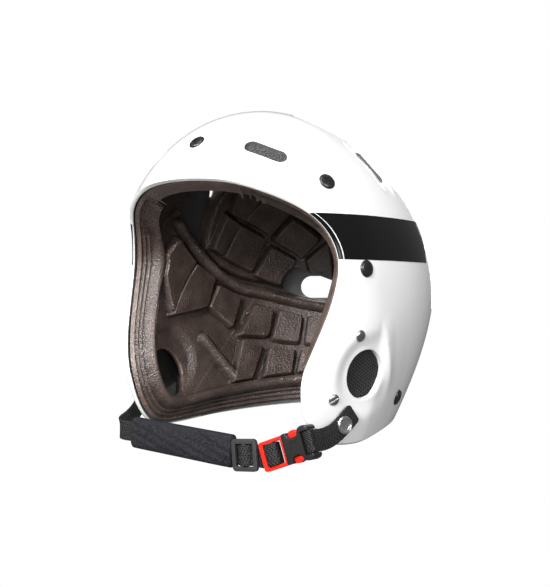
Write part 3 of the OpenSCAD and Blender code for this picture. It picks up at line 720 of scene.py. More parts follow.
# Rolls: centre line, half width, height over the floor, height of the cross wrinkles
ROLLS = [
    ([(-24, 72), (-2, 69.5), (15, 68), (28, 65.5), (41, 60.5), (54, 57.5), (71, 55), (90, 54)],
     5.0, 8.0, 0.35),
    ([(-32, 71), (-34, 78), (-34, 86), (-36, 96)], 3.4, 5, 0.2),
    ([(50, 111), (55, 107), (60, 102), (68, 96), (77, 91), (90, 89)], 4.6, 6, 0.3),
    ([(-24, 104), (-13, 121), (-2, 136), (14, 147), (30, 147), (41, 129), (50, 113)], 6.5, 7, 0.25),
    ([(-14, 98), (-4, 109), (0, 124)], 2.6, 4, 0.15),
    ([(27, 96), (47, 98)], 4.8, 7, 0.2)]


def folded(d):
    return np.stack([np.abs(d[..., 0]), d[..., 1], d[..., 2]], -1)


def block_depth(d, corners, blunt=0.012):
    """How far a direction is inside a great-circle polygon, in radians, with blunted corners."""
    c = polar(np.array([p[0] for p in corners], float), np.array([p[1] for p in corners], float))
    middle = unit(c.mean(0))
    total = np.zeros(d.shape[:-1])
    for i in range(len(c)):
        n = unit(np.cross(c[i], c[(i + 1) % len(c)]))
        n = n if n @ middle > 0 else -n
        total += np.exp(-np.clip(d @ n, -0.3, 0.3) / blunt)
    return -blunt * np.log(total)


def line_distance(p, line):
    """Distance to a polyline and the length along it."""
    best, along, run = np.full(p.shape[:-1], 1e9), np.zeros(p.shape[:-1]), 0.0
    for a, b in zip(line[:-1], line[1:]):
        length = np.linalg.norm(b - a)
        t = np.clip((p - a) @ (b - a) / length**2, 0, 1)
        away = np.linalg.norm(p - a - t[..., None] * (b - a), axis=-1)
        nearer = away < best
        best, along = np.where(nearer, away, best), np.where(nearer, run + t * length, along)
        run += length
    return best, along


def smooth_line(points, steps=6):
    p = np.array(points, float)
    p = np.concatenate([[2 * p[0] - p[1]], p, [2 * p[-1] - p[-2]]])
    out = [spline(p[i - 1], p[i], p[i + 1], p[i + 2], k / steps)
           for i in range(1, len(p) - 2) for k in range(steps)]
    return np.array(out + [p[-2]])


def relief(d, blocks, rolls):
    """Foam thickness over the floor, from its blocks and rolls."""
    f = folded(d)
    radius = shell_radius(d) * 0.88
    h = np.zeros(d.shape[:-1])
    for corners in blocks:
        depth = block_depth(f, corners, 0.008) * radius
        h = np.maximum(h, 7.8 * rise((depth + 1.5) / 1.9) + 0.7 * rise((depth - 0.5) / 8))
    for line, half, height, wrinkle in rolls:
        q = smooth_line(line)
        c = polar(q[:, 0], q[:, 1])
        away, along = line_distance(f * radius[..., None], c * (shell_radius(c) * 0.88)[:, None])
        roll = np.sqrt(np.clip(1 - (away / half) ** 2, 0, 1))
        h = np.maximum(h, roll * (height + wrinkle * np.sin(along * 2 * math.pi / 2.3)))
    return h


def rim(m):
    """Foam thickness against the distance from the opening's edge: two thin steps, then a roll."""
    steps = 3.6 + 2.6 * rise((m - 2.2) / 0.8) + 2.8 * rise((m - 4.8) / 0.9)
    steps = steps + (FLOOR - 9) * rise((m - 7.0) / 1.6)
    return steps + 5.5 * np.sqrt(np.clip(1 - ((m - 12.2) / 4.8) ** 2, 0, 1))


def pocket(outline, place, side, spin, floor):
    """Tool that opens a pad from its outer face down to a depth under the shell."""
    o, a, b, n = axes_at(mirror(place, side), side * spin)
    q = outline(0)
    ring = o + q[:, :1] * a + q[:, 1:2] * b * side
    rings = np.concatenate([ring + n * 6, ring - n * floor])
    return rings, outward(rings, tube_faces(2, len(q)))


def liner_pad(name, cad_node, turns, low, high, thick, blocks=(), rolls=(), cuts=(), pockets=(), to_edge=False,
              butted=False):
    """A closed foam pad over a range of turns, between two spreads that may follow the turn."""
    step = 0.65
    middle = math.radians(turns[1] - turns[0]) * 100
    cols = int(middle / step) + 2
    turn = np.linspace(turns[0], turns[1], cols)
    start, end = low(turn), high(turn)
    rows = int(np.radians(end - start).max() * 105 / step) + 2
    t = np.linspace(0, 1, rows)[:, None]
    spread = start * (1 - t) + end * t
    turn = np.broadcast_to(turn, spread.shape)
    d = polar(turn, spread)
    p = on_shell(d)
    reach = np.sin(np.radians(spread)) * np.linalg.norm(p, axis=-1)
    from_side = np.minimum(turn - turns[0], turns[1] - turn)
    to_side = AWAY if butted else np.radians(from_side) * reach
    to_low = np.radians(spread - start) * 100
    to_high = AWAY if to_edge else np.radians(end - spread) * 100
    room = np.minimum(np.minimum(to_side, to_low), to_high)
    rounding = quarter_round(room / 3.2)
    height = thick + relief(d, blocks, rolls)
    if to_edge:
        m = edge_room(p) - EDGE_GAP
        away = rise((m - 15.5) / 1.6)
        inner = np.maximum(height * away + FLOOR * (1 - away), FLOOR * (1 - away))
        height = np.where(m < 15.5, rim(m), inner)
        ear = np.minimum(*(np.linalg.norm(p - on_surface(mirror(EAR_PORT, s)), axis=-1) for s in (1, -1)))
        height = height - 4.0 * rise((31 - ear) / 9)
    height = height * (0.62 + 0.38 * rounding)
    points, faces = closed_sheet(under(d, LINER_OUT + height), under(d, LINER_OUT))
    pad = make_mesh(name, points, faces, [MAT["foam"]], None, angle=60)
    for corners in cuts:
        q = smooth_loop(corners)
        ring = polar(q[:, 0], q[:, 1])
        if turns[0] > 90:
            ring = ring * np.array([-1, 1, 1])
        r = shell_radius(ring)[:, None] * ring
        rings = np.concatenate([r * 1.1, r * 0.66])
        boolean(pad, make_mesh("pad_tool", rings, outward(rings, tube_faces(2, len(ring))), [], None))
    for tool in pockets:
        boolean(pad, make_mesh("pad_tool", *tool, [], None))
    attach(pad, "shell")
    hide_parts(cad_node)


def smooth_loop(points, steps=6):
    p = np.array(points, float)
    n = len(p)
    return np.array([spline(p[i - 1], p[i], p[(i + 1) % n], p[(i + 2) % n], k / steps)
                     for i in range(n) for k in range(steps)])


def build_liner():
    def fold(turn):
        return np.where(turn > 90, 180 - turn, turn)

    def roll_top(turn):
        return np.interp(fold(turn), ROLL_TURN, ROLL_TOP) - 1.4

    def crown_end(turn):
        return np.minimum(roll_top(turn) - 0.6, np.interp(fold(turn), [-31, 1, 2], [40, 65, 90]))

    def edge(turn):
        return edge_spread(turn, EDGE_GAP)

    back_window = [(48, 45.5), (57, 43.5), (72, 44.5), (74, 51), (57, 53.5), (48.5, 53.5)]
    ear_hole = [(24 + 11 * math.cos(a), 121 + 9.5 * math.sin(a))
                for a in np.linspace(0, 2 * math.pi, 12, False)]
    for side, word in ((1, "left"), (-1, "right")):
        crown = (-31, 89) if side > 0 else (91, 211)
        liner_pad(f"crown_pad_{word}_foam", f"crown_pad_{word}", crown, lambda t: np.full(t.shape, CROWN_LOW),
                  crown_end, FLOOR - 1, CROWN_BLOCKS, cuts=[back_window])
        ear = (-31.48, 37.48) if side > 0 else (142.52, 211.48)
        liner_pad(f"ear_pad_{word}_foam", f"ear_pad_{word}", ear, lambda t: roll_top(t) + 0.4, edge, FLOOR,
                  BAND_BLOCKS, ROLLS, cuts=[ear_hole], to_edge=True, butted=True,
                  pockets=[pocket(lambda g: circle_outline(42, g), EAR_PORT, side, 0, 10.4)])
    slots = [pocket(lambda g: stadium_outline(37, 16, g), FRONT_SLOT, side, SLOT_SPIN, 9.0) for side in (1, -1)]
    liner_pad("crown_pad_front_foam", "crown_pad_front", (-135, -45), lambda t: np.full(t.shape, CROWN_LOW),
              lambda t: np.full(t.shape, 56.0), FLOOR - 1,
              [[(-130, 14), (-96, 14), (-94, 32), (-124, 32)], [(-84, 14), (-50, 14), (-56, 32), (-86, 32)],
               [(-128, 36), (-94, 36), (-93, 53), (-126, 53)], [(-86, 36), (-52, 36), (-54, 53), (-87, 53)]])
    liner_pad("brow_pad_foam", "brow_pad", (-148.48, -31.52), lambda t: np.full(t.shape, 61.0), edge, 12,
              to_edge=True, butted=True, pockets=slots)
    liner_pad("rear_pad_foam", "rear_pad", (37.52, 142.48), lambda t: roll_top(t) + 0.4, edge, FLOOR,
              BAND_BLOCKS, ROLLS, to_edge=True, butted=True)


# ---------------------------------------------------------------- small hard parts
def solid(points, faces):
    """Bare object in millimetres, for booleans."""
    me = bpy.data.meshes.new("solid")
    me.from_pydata([tuple(p) for p in np.asarray(points, float)], [], [list(f) for f in faces])
    o = bpy.data.objects.new("solid", me)
    bpy.context.scene.collection.objects.link(o)
    return o


def taken(o):
    """Points and faces of a bare object, which is removed."""
    me = o.data
    points = np.array([v.co[:] for v in me.vertices])
    faces = [list(f.vertices) for f in me.polygons]
    bpy.data.objects.remove(o)
    bpy.data.meshes.remove(me)
    return points, faces


def carve(base, *tools, join=()):
    o = solid(*base)
    for t in join:
        boolean(o, solid(*t), "UNION")
    for t in tools:
        boolean(o, solid(*t))
    return taken(o)


def softened(shape, width, segments=3):
    o = solid(*shape)
    b = o.modifiers.new("soft", "BEVEL")
    b.width, b.segments, b.limit_method, b.angle_limit = width, segments, "ANGLE", math.radians(35)
    b.harden_normals = False
    bake(o)
    return taken(o)


def block(low, high):
    x0, y0, z0 = low
    x1, y1, z1 = high
    p = np.array([[x0, y0, z0], [x1, y0, z0], [x1, y1, z0], [x0, y1, z0],
                  [x0, y0, z1], [x1, y0, z1], [x1, y1, z1], [x0, y1, z1]], float)
    f = [[0, 3, 2, 1], [4, 5, 6, 7], [0, 1, 5, 4], [1, 2, 6, 5], [2, 3, 7, 6], [3, 0, 4, 7]]
    return p, f


def prism(outline, low, high):
    """Outline in (X, Z), solid from Y low to Y high."""
    q = np.asarray(outline, float)
    n = len(q)
    a = np.stack([q[:, 0], np.full(n, float(low)), q[:, 1]], -1)
    b = np.stack([q[:, 0], np.full(n, float(high)), q[:, 1]], -1)
    p = np.concatenate([a, b])
    f = [list(range(n))[::-1], list(range(n, 2 * n))]
    f += [[i, (i + 1) % n, n + (i + 1) % n, n + i] for i in range(n)]
    return p, outward(p, f)


def rounded_rectangle(x0, x1, z0, z1, r, n=5):
    out = []
    corners = ((x1 - r, z1 - r), (x0 + r, z1 - r), (x0 + r, z0 + r), (x1 - r, z0 + r))
    for (cx, cz), start in zip(corners, (0, 90, 180, 270)):
        for k in range(n + 1):
            a = math.radians(start + 90 * k / n)
            out.append([cx + r * math.cos(a), cz + r * math.sin(a)])
    return np.array(out)


def dress(name, key):
    """A CAD node that is carried over gets its material."""
    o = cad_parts[name]
    o.data.materials.clear()
    o.data.materials.append(MAT[key])


def plug_shape():
    dome = lathe([(0, 1.9), (2.4, 1.86), (4.2, 1.62), (5.2, 1.25), (5.75, 0.75), (6.0, 0.1), (5.9, -0.2),
                  (3.2, -0.25), (3.2, -7.0), (0, -7.0)], 40)
    return carve(dome, block((-3.2, -0.6, 1.2), (3.2, 0.6, 4)), block((-0.6, -3.2, 1.2), (0.6, 3.2, 4)))


def screw_shape():
    head = lathe([(0, 1.5), (1.8, 1.46), (3.0, 1.25), (3.7, 0.85), (4.0, 0.35), (3.9, 0.0), (2.2, -0.1),
                  (2.2, -8.0), (0, -8.0)], 40)
    return carve(head, block((-4.4, -0.45, 0.55), (4.4, 0.45, 4)))


def build_fasteners():
    plug, screw = plug_shape(), screw_shape()
    places = [(FRONT_PLUG, 1), (BACK_PLUG, 1)]
    places += [(p, s) for p in (TEMPLE_PLUG, SIDE_PLUG, NAPE_PLUG) for s in (1, -1)]
    pieces = [(placed(plug[0], place, 20 + 17 * i, 0.05, side), plug[1])
              for i, (place, side) in enumerate(places)]
    make_mesh("plug_heads", *joined(*pieces), [MAT["plug"]], "shell", slot="plug_black",
              replaces=["liner_plugs"])
    pieces = [(placed(screw[0], place, spin, 0.1, side), screw[1])
              for place, spin in ((UPPER_SCREW, 96), (LOWER_SCREW, 118)) for side in (1, -1)]
    make_mesh("screw_heads", *joined(*pieces), [MAT["steel"]], "shell", slot="screw_silver",
              replaces=["ear_screws"])
    rivet = lathe([(0, 1.05), (3.6, 1.05), (3.9, 1.15), (4.4, 1.75), (5.0, 2.1), (5.6, 2.0), (6.1, 1.5),
                   (6.3, 0.8), (6.2, 0.1), (2.0, 0.0), (2.0, -4.8), (4.5, -4.9), (4.5, -5.0), (2.0, -5.1),
                   (2.0, -16.0), (0, -16.0)])
    shoulder = lathe([(0, -1.9), (4.3, -1.9), (4.5, -2.1), (4.5, -5.6), (0, -5.6)], 32)
    for side, word in ((1, "left"), (-1, "right")):
        axis = np.array([side * math.cos(RIVET_LEAN), -math.sin(RIVET_LEAN), 0])
        level_axis = np.cross([0, 0, 1], axis)
        head = np.array([side * STRAP_X, RIVET_Y, RIVET_Z]) + axis * 0.9
        turned = []
        for points, faces in (rivet, shoulder):
            p = in_axes(points, head, level_axis, np.array([0, 0, 1]), axis)
            turned.append((p, outward(p, faces)))
        make_mesh(f"rivet_{word}", *joined(*turned), [MAT["rivet"]], "shell", slot="rivet_silver",
                  replaces=[f"strap_rivet_{word}"])
    for name, key in (("plug_sockets", "plastic"), ("screw_barrels", "plastic"), ("rivet_washers", "rivet")):
        dress(name, key)
    build_vent_foam()


def build_vent_foam():
    """A foam screen that fills each front slot from just under the shell's face."""
    for side, word in ((1, "left"), (-1, "right")):
        o, a, b, n = axes_at(mirror(FRONT_SLOT, side), side * SLOT_SPIN)
        q = stadium_outline(31.8, 10.8, 0)
        ring = unit(o + q[:, :1] * a + q[:, 1:2] * b * side)
        mid = unit(o)
        rings = [ring] + [unit(mid + (ring - mid) * k) for k in np.linspace(0.9, 0.1, 9)]
        top = np.concatenate([skin(r, 2.5 if i else 2.8) for i, r in enumerate(rings)]
                             + [skin(mid[None], [2.5])])
        count = len(q)
        low = skin(ring, 8.0)
        points = np.concatenate([top, low])
        faces = grid_quads(len(rings), count, wrap=True).tolist()
        last = (len(rings) - 1) * count
        faces += [[last + i, last + (i + 1) % count, last + count] for i in range(count)]
        base = len(top)
        faces += [[(i + 1) % count, i, base + i, base + (i + 1) % count] for i in range(count)]
        faces += [list(range(base, base + count))[::-1]]
        make_mesh(f"vent_foam_{word}", points, outward(points, faces), [MAT["screen"]], "shell",
                  slot="vent_foam", replaces=[f"vent_screen_{word}"], angle=50)


def build_ear_meshes():
    pitch, hole, radius = 2.4, 1.12, 19.9
    centres = [((i + 0.5 * (j % 2)) * pitch, j * pitch * 0.866)
               for i in range(-10, 11) for j in range(-10, 11)]
    centres = [c for c in centres if math.hypot(*c) < 17.8]
    tools = []
    for x, y in centres:
        a = np.radians(np.arange(30, 390, 60))
        ring = np.stack([x + hole * np.cos(a), y + hole * np.sin(a)], -1)
        p = np.concatenate([np.c_[ring, np.full(6, -2.0)], np.c_[ring, np.full(6, 2.0)]])
        tools.append((p, tube_faces(2, 6)))
    disc = lathe([(0, 0.15), (radius, 0.15), (radius, -0.15), (0, -0.15)], 72)
    points, faces = carve(disc, joined(*tools))
    ring = carve(lathe([(0, 0), (20.6, 0), (20.6, -1.4), (0, -1.4)], 72),
                 lathe([(0, 1), (17.6, 1), (17.6, -4), (0, -4)], 72))
    for side, word in ((1, "left"), (-1, "right")):
        o, a, b, n = axes_at(mirror(EAR_PORT, side))
        n = unit(n - np.array([0, DISH_LEAN, 0]))
        a = unit(a - n * (a @ n))
        b = np.cross(n, a)
        for q, f, key, depth, name, gone, slot in (
                (points, faces, "mesh", 1.4, "grille", "ear_mesh", "mesh_black"),
                (ring[0], ring[1], "plastic", 2.0, "ring", "ear_ring", "ring_black")):
            p = in_axes(q, o - n * (DISH_DEPTH + WALL + depth), a, b, n)
            make_mesh(f"{gone}_{word}_{name}", p, outward(p, f), [MAT[key]], "shell", slot=slot,
                      replaces=[f"{gone}_{word}"])


# ---------------------------------------------------------------- chin strap
WEB_W, WEB_T = 15.0, 1.6
RUN_Y = -57.5
BUCKLE = np.array([70.3, RUN_Y, -111.1])
SLOPE = math.radians(20)
ALONG = np.array([math.cos(SLOPE), 0, math.sin(SLOPE)])
ACROSS = np.array([-math.sin(SLOPE), 0, math.cos(SLOPE)])
SLIDER = np.array([36.4, RUN_Y - 2.5, -117.5])
SLIDER_LEAN = math.radians(5)
SLIDER_ALONG = np.array([math.cos(SLIDER_LEAN), 0, math.sin(SLIDER_LEAN)])
SLIDER_ACROSS = np.array([-math.sin(SLIDER_LEAN), 0, math.cos(SLIDER_LEAN)])
PAD_END = np.array([-77.2, RUN_Y, -111.5])
UP = [0, 0, 1]


def at_buckle(x, y):
    return list(BUCKLE + x * ALONG + np.array([0, y, 0]))


def near_slider(x, y, z):
    return [SLIDER[0] + x, RUN_Y + y, SLIDER[2] + z]


def strap_part(name, shape, key, body, slot, cad_node, at=(BUCKLE, ALONG, ACROSS)):
    """A shape drawn along the strap (X), through it (Y) and across it (Z), put in its place."""
    origin, along, across = at
    p = in_axes(shape[0], origin, along, np.array([0, 1, 0]), across)
    make_mesh(name, p, outward(p, shape[1]), [MAT[key]], body, slot=slot, replaces=[cad_node])


def webbing(name, stops, body, replaces=(), round_ends=(True, True), step=1.0, width=WEB_W, thickness=WEB_T):
    """Flat webbing through stops of (centre, width direction), with a UV map in millimetres."""
    c = np.array([s[0] for s in stops], float)
    w = unit(np.array([s[1] for s in stops], float))
    count = [max(2, int(np.linalg.norm(b - a) / step)) for a, b in zip(c[:-1], c[1:])]
    cc, ww = [], []
    pc = np.concatenate([[2 * c[0] - c[1]], c, [2 * c[-1] - c[-2]]])
    pw = np.concatenate([[w[0]], w, [w[-1]]])
    for i, n in enumerate(count):
        for k in range(n + (i == len(count) - 1)):
            t = k / n
            cc.append(centripetal(pc[i], pc[i + 1], pc[i + 2], pc[i + 3], t))
            ww.append(pw[i + 1] * (1 - rise(t)) + pw[i + 2] * rise(t))
    c, w = np.array(cc), np.array(ww)
    along = unit(np.gradient(c, axis=0))
    w = unit(w - along * (w * along).sum(-1, keepdims=True))
    n = np.cross(along, w)
    run = np.concatenate([[0], np.cumsum(np.linalg.norm(np.diff(c, axis=0), axis=1))])
    half, thick = width / 2, thickness / 2
    section = [(half - 0.5, thick)] + [(half - 0.5 + 0.5 * math.sin(a), thick * math.cos(a))
                                       for a in np.linspace(0.5, math.pi - 0.5, 4)] + [(half - 0.5, -thick)]
    across = np.linspace(half - 0.5, -half + 0.5, 9)[1:-1]
    section += [(a, -thick) for a in across]
    section += [(-u, -v) for u, v in section[:6]] + [(-a, thick) for a in across]
    section = np.array(section)
    trim = np.ones(len(run))
    for at, on in ((run, round_ends[0]), (run[-1] - run, round_ends[1])):
        if on:
            trim = np.minimum(trim, 0.8 + 0.2 * quarter_round(at / 3.0))
    u = section[None, :, 0] * trim[:, None]
    p = c[:, None] + u[..., None] * w[:, None] + section[None, :, 1:2] * n[:, None]
    rows, cols = p.shape[:2]
    p = p.reshape(-1, 3)
    o = make_mesh(name, p, outward(p, tube_faces(rows, cols)), [MAT["web"]], body,
                  slot="webbing", replaces=replaces, angle=70)
    layer = o.data.uv_layers.new(name="weave")
    loops = read_array(o.data.loops, "vertex_index")
    uv = np.stack([run[loops // cols], u.reshape(-1)[loops] + half], -1)
    layer.data.foreach_set("uv", uv.ravel())
    return o


def centripetal(a, b, c, d, t):
    """Catmull-Rom through uneven stops, with the tangents scaled to the middle span."""
    span = np.linalg.norm(c - b)
    m1 = (c - b) / span + (b - a) / max(np.linalg.norm(b - a), 1e-6)
    m2 = (d - c) / max(np.linalg.norm(d - c), 1e-6) + (c - b) / span
    m1, m2 = m1 * span * 0.5, m2 * span * 0.5
    return ((2 * t**3 - 3 * t**2 + 1) * b + (t**3 - 2 * t**2 + t) * m1 + (3 * t**2 - 2 * t**3) * c
            + (t**3 - t**2) * m2)


def build_straps():
    down, across = unit([0, -0.76, -0.65]), unit([0, -0.65, 0.76])
    tip = np.array([0, RIVET_Y, RIVET_Z]) - 12 * down
    y, z, x = RIVET_Y, RIVET_Z, STRAP_X
    lean = math.tan(RIVET_LEAN)
    webbing("strap_left_web", [
        ([x + lean * (tip[1] - y), tip[1], tip[2]], across - [lean * 0.65, 0, 0]),
        ([x - lean * 8, y - 8, z - 5.6], across - [lean * 0.6, 0, 0]),
        ([x - lean * 14, y - 14, z - 7.8], [-0.15, -0.3, 0.95]),
        ([x - lean * 17, y - 20, z - 8.4], [-0.1, -0.1, 1]), ([x - 5.4, y - 25.4, z - 8.2], [-0.2, 0, 1]),
        (at_buckle(26.4, -3.4), ACROSS), (at_buckle(23.2, -3.4), ACROSS), (at_buckle(21, -2.9), ACROSS),
        (at_buckle(20.5, -1.2), ACROSS), (at_buckle(20.4, 1.6), ACROSS)], "chin_strap",
        replaces=["strap_left"], round_ends=(True, False))
    right = webbing("strap_right_web", [
        ([-x - lean * (tip[1] - y), tip[1], tip[2]], across + [lean * 0.65, 0, 0]),
        ([-x + lean * 8, y - 8, z - 5.6], across + [lean * 0.6, 0, 0]),
        ([-x + lean * 11, y - 14, z - 9.4], [0.1, -0.5, 0.86]),
        ([-x + lean * 9, y - 19, z - 12.6], [0, -0.4, 0.9]), ([-x + 3.6, y - 23.6, z - 15.2], UP),
        ([-x + 7, RUN_Y, z - 16.4], UP), (list(PAD_END + [-4, 0, 0.2]), UP),
        (list(PAD_END + [45, 0, -2.2]), UP)],
        None, replaces=["strap_right"], round_ends=(True, False))
    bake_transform(right)
    webbing("frame_web", [
        ([-24, RUN_Y, -114.1], UP), ([22, RUN_Y, -116.4], UP), (near_slider(-6.8, 0, -0.5), SLIDER_ACROSS),
        (near_slider(6.8, 0, 0.3), SLIDER_ACROSS), (near_slider(10.6, 0.4, 0), SLIDER_ACROSS),
        (at_buckle(-21.6, 3.6), ACROSS), (at_buckle(-16.6, 3.6), ACROSS), (at_buckle(-14, -3.4), ACROSS),
        (at_buckle(-8, -3.4), ACROSS), (at_buckle(-6.2, -2.7), ACROSS), (at_buckle(-5.6, 0), ACROSS),
        (at_buckle(-6.4, 2.6), ACROSS), (at_buckle(-8.6, 4.1), ACROSS), (at_buckle(-13, 5.5), ACROSS),
        (at_buckle(-20.7, 5.8), ACROSS), (near_slider(9, 5.4, -0.4), SLIDER_ACROSS),
        (near_slider(-7, 5.2, -1), SLIDER_ACROSS)], "strap_end", replaces=["frame_webbing"],
        round_ends=(False, True), step=0.8)
    # The turn of webbing over the slider's middle bar travels with the slider
    webbing("slider_loop_web", [
        (near_slider(-9, 0, -0.6), SLIDER_ACROSS), (near_slider(-6.8, -0.1, -0.5), SLIDER_ACROSS),
        (near_slider(-2.4, -4.9, -0.2), SLIDER_ACROSS), (near_slider(2.4, -4.9, 0.2), SLIDER_ACROSS),
        (near_slider(6.8, -0.1, 0.3), SLIDER_ACROSS), (near_slider(9, 0, 0.3), SLIDER_ACROSS)], "slider",
        round_ends=(False, False), step=0.6, width=WEB_W - 0.4, thickness=WEB_T - 0.3)


def build_buckle():
    half = [(2.4, 9.4), (3.0, 10.2), (5.0, 10.5), (6.7, 10.3), (7.2, 9.0), (8.0, 7.0), (10.5, 6.0), (14, 5.9),
            (16.0, 6.8), (16.9, 9.4), (18.4, 11.1), (21.5, 11.8), (24.4, 11.2), (25.8, 9.6)]
    outline = half + [(a, -b) for a, b in half[::-1]]
    shell = softened(prism(outline, -4.8, 4.8), 1.5, 4)
    body = carve(shell, block((1, -2.5, -9.6), (16.9, 2.5, 9.6)), block((19.2, -9, -8), (22.4, 9, 8)),
                 block((22, -9, -8), (28, -2, 8)), block((22, 2, -8), (28, 9, 8)),
                 prism(rounded_rectangle(8.6, 14.8, -3.6, 3.6, 1.5), -6, -4.4))
    strap_part("buckle_shell", body, "body", "chin_strap", "buckle_black", "buckle_body")
    plate = carve(prism(rounded_rectangle(-20.5, 2, -10.2, 10.2, 2.0), -2.2, 2.2),
                  prism(rounded_rectangle(-17.2, -13.4, -7.9, 7.9, 0.8), -4, 4),
                  prism(rounded_rectangle(-8.6, -1, -7.9, 7.9, 0.8), -4, 4),
                  join=[prism(rounded_rectangle(0, 15, -1.8, 1.8, 1.2), -1.9, 1.9)])
    strap_part("buckle_plate", softened(plate, 0.55, 3), "red", "strap_end", "buckle_red", "buckle_frame")
    arm = [(2.1, 6.4), (2.1, 8.8), (7.0, 8.9), (7.5, 10.2), (8.6, 11.0), (11.2, 11.2), (13.4, 10.7),
           (15.4, 9.4), (16.5, 7.4), (15.6, 6.4), (9, 6.1)]
    for side, word, body_name in ((1, "upper", "upper_prong"), (-1, "lower", "lower_prong")):
        shape = softened(prism([(a, side * b) for a, b in arm], -2.1, 2.1), 0.5, 3)
        strap_part(f"prong_{word}_button", shape, "red", body_name, "buckle_red", f"prong_{word}")
    ring = carve(prism(rounded_rectangle(-11.2, 11.2, -11.2, 11.2, 3.2), -1.2, 1.2),
                 prism(rounded_rectangle(-7.9, -1.5, -7.9, 7.9, 1.0), -3, 3),
                 prism(rounded_rectangle(1.5, 7.9, -7.9, 7.9, 1.0), -3, 3))
    strap_part("slider_ring", softened(ring, 0.5, 3), "slider", "slider", "slider_grey", "strap_slider",
               (SLIDER, SLIDER_ALONG, SLIDER_ACROSS))


def build_chin_pad():
    length, half_w, half_t = 101.0, 11.75, 4.3
    rows, cols = ((202, 160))
    s = np.linspace(0, length, rows)[:, None]
    a = np.linspace(0, 2 * math.pi, cols, endpoint=False)[None]
    ca, sa = np.cos(a), np.sin(a)
    edge = np.clip(np.minimum(s, length - s) / 2.2, 0, 1)
    shrink = 0.86 + 0.14 * np.sqrt(1 - (1 - edge) ** 2)
    w = half_w * np.sign(ca) * np.abs(ca) ** 0.72 * shrink
    t = half_t * np.sign(sa) * np.abs(sa) ** 0.72 * shrink
    # The outer flap wraps the front and stops short of the slider along a curved edge
    flap_end = 95 + 5.5 * rise((w + 12) / 16)
    flap = 0.75 * rise((flap_end - s) / 0.9) * rise(-sa / 0.35)
    seam = -0.35 * np.exp(-(((s - flap_end + 2.6) / 0.45) ** 2)) * rise(-sa / 0.35)
    swell = 0.35 * np.sin(s / 9.0) * np.cos(w / 5.0) + 0.2 * np.sin(s / 3.7 + w)
    t = t - (flap + seam) + swell * np.abs(sa) * shrink
    slope = math.radians(2.8)
    along = np.array([math.cos(slope), 0, -math.sin(slope)])
    across = np.array([math.sin(slope), 0, math.cos(slope)])
    p = PAD_END + s[..., None] * along + w[..., None] * across + t[..., None] * np.array([0, 1, 0])
    q = p.reshape(-1, 3)
    pad = make_mesh("chin_pad_sleeve", q, outward(q, tube_faces(rows, cols)), [MAT["cloth"]], "pad",
                    slot="pad_fabric", replaces=["chin_pad"], angle=60)


# ---------------------------------------------------------------- stage
def build_floor(lowest):
    z, half = lowest - 0.0005, 4
    me = bpy.data.meshes.new("floor")
    me.from_pydata([(x * half, y * half, z) for x, y in ((-1, -1), (1, -1), (1, 1), (-1, 1))], [],
                   [(0, 1, 2, 3)])
    floor = bpy.data.objects.new("floor", me)
    bpy.context.scene.collection.objects.link(floor)
    m = bpy.data.materials.new("floor_pale")
    m.use_nodes = True
    m.node_tree.nodes.clear()
    glow = node(m, "ShaderNodeEmission", Color=(1, 1, 1, 1), Strength=1.0)
    link(m, glow.outputs[0], node(m, "ShaderNodeOutputMaterial").inputs["Surface"])
    me.materials.append(m)
    floor.visible_diffuse = floor.visible_glossy = floor.visible_shadow = False


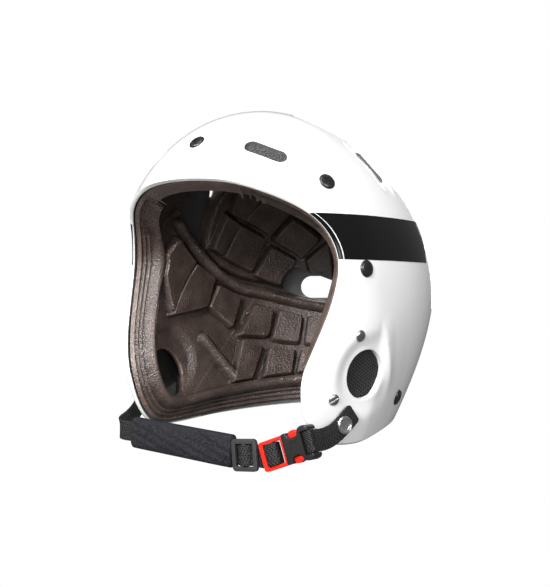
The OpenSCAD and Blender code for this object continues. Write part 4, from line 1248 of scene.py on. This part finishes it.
def build_world():
    """White behind the object for the camera, and a soft grey gradient for what it reflects."""
    world = bpy.data.worlds.new("studio")
    bpy.context.scene.world = world
    world.use_nodes = True
    world.node_tree.nodes.clear()
    seen = node(world, "ShaderNodeBackground", Color=(1, 1, 1, 1), Strength=1.0)
    glow = node(world, "ShaderNodeBackground", Strength=0.5)
    split, ramp = node(world, "ShaderNodeSeparateXYZ"), node(world, "ShaderNodeValToRGB")
    link(world, coords(world, "Generated"), split.inputs[0])
    lift = math_node(world, "ADD", math_node(world, "MULTIPLY", split.outputs["Z"], 0.5), 0.5)
    link(world, lift, ramp.inputs["Fac"])
    e = ramp.color_ramp.elements
    e[0].position, e[0].color = 0.0, (0.3, 0.3, 0.3, 1)
    e[1].position, e[1].color = 1.0, (0.5, 0.5, 0.51, 1)
    e.new(0.55).color = (0.35, 0.35, 0.35, 1)
    link(world, ramp.outputs["Color"], glow.inputs["Color"])
    mix = node(world, "ShaderNodeMixShader")
    link(world, node(world, "ShaderNodeLightPath").outputs["Is Camera Ray"], mix.inputs["Fac"])
    link(world, glow.outputs[0], mix.inputs[1])
    link(world, seen.outputs[0], mix.inputs[2])
    link(world, mix.outputs[0], node(world, "ShaderNodeOutputWorld").inputs["Surface"])


def build_stage(low):
    scene = bpy.context.scene
    build_floor(low[2])
    build_world()
    for name, place, aim, size, power in (
            ("key", (-0.5, -1.5, 0.75), (0, 0, -0.02), 0.5, 28),
            ("side", (1.9, -0.5, 0.6), (0, 0, 0), 0.9, 24),
            ("fill", (0.9, -1.5, 0.2), (0, 0, -0.02), 0.8, 9), ("top", (0.3, -0.7, 1.7), (0, 0, 0), 0.8, 14),
            ("inside", (0.35, -1.05, 0.42), (-0.03, 0.05, -0.01), 0.2, 13),
            ("back", (-0.7, 1.9, 0.5), (0, 0, 0), 1.2, 11)):
        light = bpy.data.lights.new(name, "AREA")
        light.shape, light.size, light.energy = "DISK", size, power
        o = bpy.data.objects.new(name, light)
        o.location = place
        o.rotation_euler = (Vector(aim) - Vector(place)).to_track_quat("-Z", "Y").to_euler()
        scene.collection.objects.link(o)
    camera = bpy.data.cameras.new("photo_camera")
    camera.sensor_fit, camera.sensor_width, camera.lens = "HORIZONTAL", 36, 67.37
    camera.clip_start = 0.05
    o = bpy.data.objects.new("photo_camera", camera)
    o.location = (0.50479, -0.59526, -0.00545)
    o.rotation_euler = (math.radians(90 - 0.03), 0, math.radians(39.52))
    scene.collection.objects.link(o)
    scene.camera = o
    scene.view_settings.view_transform = "Standard"
    scene.view_settings.look = "None"


build_shell()
build_stripes()
build_liner()
build_fasteners()
build_ear_meshes()
build_straps()
build_buckle()
build_chin_pad()
visual_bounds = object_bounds()
build_stage(visual_bounds[0])
